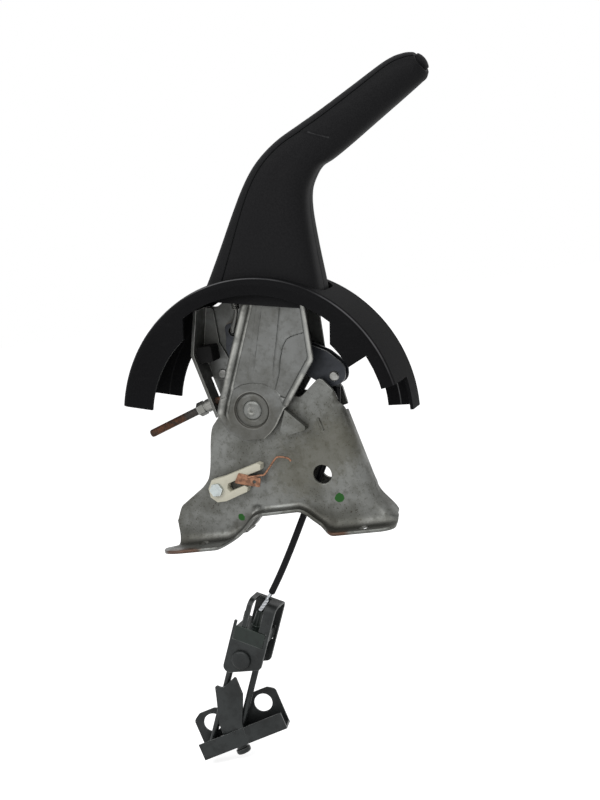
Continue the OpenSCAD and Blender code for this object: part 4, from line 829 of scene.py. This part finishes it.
def shell(start, stop, start_in, stop_in, shares, start_round):
    """A moulded shell between two angles of every section: the outside with round edges at its seams and at
    the tip, then the inside at the wall's depth."""
    angle, length = spread(start, stop, shares)
    inset = rounded((1 - shares) * length, seam_round) + rounded(shares * length, start_round)
    inset = inset + rounded((last - to_tip)[:, None] * last_gap, end_round)
    face = section(0, angle)
    beyond = (face[..., ::2] - crease_at) @ crease_sides
    side = np.clip(np.abs(face[..., 1]) / half_width, 0, 1) ** 6
    inset = inset - crease_height * side * ramp(beyond.max(-1), -0.7, 0.7)
    inner = start_in + (stop_in - start_in) * np.linspace(1, 0, 30)
    return np.concatenate([section(inset, angle), section(shell_t, inner)], axis=1)


from_edge, to_edge = np.linspace(0, 1, 11) ** 1.6, np.linspace(1, 0, 11) ** 1.6
near_shares = np.concatenate([[0, 0.002, 0.004, 0.008], np.linspace(0.02, 0.96, 84), 1 - 0.03 * to_edge[1:]])
strip_shares = np.concatenate([0.05 * from_edge, np.linspace(0.07, 0.93, 30), 1 - 0.05 * to_edge])
zero = np.zeros_like(half_depth)
under, over = strip_depth + seam_gap / 2, strip_depth - seam_gap / 2
near_grid = shell(zero, -seam_angle(0, under), zero, -seam_angle(shell_t, under), near_shares, under_round)
outside, inside = seam_angle(0, over), seam_angle(shell_t, over)
strip_grid = shell(outside, 2 * np.pi - outside, inside, 2 * np.pi - inside, strip_shares, seam_round)
cover_black, tree, shader, where, colour = moulding(
    "cover_black", low=(0.0048, 0.0048, 0.0054, 1), high=(0.0105, 0.0105, 0.0112, 1), rough_low=0.55,
    rough_high=0.62, gloss=0.085, scale=800.0, depth=0.4)
# A painted highlight along the crease where the grip stands proud of the neck.
crease_highlight = (0.05, 0.05, 0.052, 1)
colour = stain(tree, where, colour, crease_highlight, 0.7, ((74, -15, 302.4), (89, -15, 296)), 0.15, 0.8, 0.5)
tree.links.new(colour, shader["Base Color"])
far_grid = near_grid * [1, -1, 1]
cover_grids = {"lever_cover_near": near_grid, "lever_cover_far": far_grid, "spine_trim": strip_grid}
for name, grid in cover_grids.items():
    cover = surface(name + "_shell", pivot + grid / 1000, body_of[name], 40)
    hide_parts(name)
    paint(cover, cover_black)
paint(frame["nodes"]["lever_core"], bright_zinc)

# Shroud: a black moulded arc with deep flanges, closing the slot round the lever, held by
# two small screws. It is scuffed, and carries a painted highlight along the round edge of its near flange.
shroud_black, tree, shader, where, colour = moulding(
    "shroud_black", low=(0.0055, 0.0055, 0.006, 1), high=(0.0095, 0.0095, 0.0102, 1), rough_low=0.58,
    rough_high=0.66, gloss=0.03, scale=900.0, depth=0.3, scuffed=0.1)
# A painted highlight: a thin ring just inside the near flange's round edge, lighter in colour, and glossier
# and coated along it.
arc_axis = ((-0.1, -44, 91.8), (-0.1, -27, 91.8))
line = hoop(tree, where, arc_axis, 112.2, 0.4, 111.5, 0.4)
line = math(tree, "MULTIPLY", line, band(tree, noise(tree, where, 25.0), 0.35, 0.65, 0.1, 0.75))
# Its rounded edges take a lighter bare colour: partly wear, partly painted sheen.
rim = place(tree, wear, Vector=where, Colour=colour, Bare=(0.05, 0.05, 0.053, 1), Amount=0.8)
tree.links.new(mix(tree, line, rim["Colour"], (0.1, 0.1, 0.104, 1)), shader["Base Color"])
tree.links.new(band(tree, line, 0, 1, 0.6, 0.25), shader["Roughness"])
tree.links.new(math(tree, "MULTIPLY", line, 0.7), shader["Coat Weight"])
shader["Coat Roughness"].default_value = 0.2
paint(eased("slot_shroud", 0.0008), shroud_black)
paint(eased("shroud_screws", 0.0003), phosphate)

# Release: a domed button in the grip's end, a steel rod down to the pawl and the coil
# spring on the rod that brings the button back.
paint(eased("release_button", 0.0004), cover_black)
paint(frame["nodes"]["release_rod"], bright_zinc)
spring_from, spring_to = np.array([-6.76, 3.8, 76.64]), np.array([-6.16, 3.8, 83.24])
coil_r, wire_r, coil_turns = 2.55, 0.55, 5
spring_axis = spring_to - spring_from
lean = np.arctan2(spring_axis[0], spring_axis[2])
share = np.linspace(0, 1, 36 * coil_turns + 1)[:, None]
coil_turn = 2 * np.pi * coil_turns * share
wire_turn = np.linspace(0, 2 * np.pi, 12, endpoint=False)
coil_out = coil_r + wire_r * np.cos(wire_turn)
coil_x, coil_y = coil_out * np.cos(coil_turn), coil_out * np.sin(coil_turn)
coil_z = np.linalg.norm(spring_axis) * share + wire_r * np.sin(wire_turn)
leaning_x = coil_x * np.cos(lean) + coil_z * np.sin(lean)
leaning_z = coil_z * np.cos(lean) - coil_x * np.sin(lean)
coil_grid = spring_from + np.stack([leaning_x, coil_y, leaning_z], -1)
coil = surface("release_coil", pivot + coil_grid / 1000, body_of["release_spring"])
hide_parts("release_spring")
paint(coil, bright_zinc)

# Equaliser: a folded clip with the cable's ferrule, a headed pin, a bent yoke and a channel
# bar for two cables, all steel under a worn dark grey coat.
coated = zinc("worn_dark_coat", clean=(0.017, 0.02, 0.02, 1), dull=(0.008, 0.0095, 0.0095, 1),
              dirt=(0.004, 0.004, 0.004, 1), bare=(0.2, 0.205, 0.2, 1), metal=0.45, depth=0.25,
              specked=0.8)[0]
for name in ("equaliser_clip", "equaliser_bar", "clip_pin", "equaliser_yoke", "bar_bolt", "cable_eye"):
    paint(eased(name, 0.0006), coated)
ferrule_coat = zinc("ferrule_coat", clean=(0.008, 0.014, 0.011, 1), dull=(0.005, 0.007, 0.006, 1),
                    dirt=(0.008, 0.008, 0.007, 1), bare=(0.07, 0.085, 0.075, 1), metal=0.4)[0]
paint(eased("cable_ferrule", 0.0004), ferrule_coat)
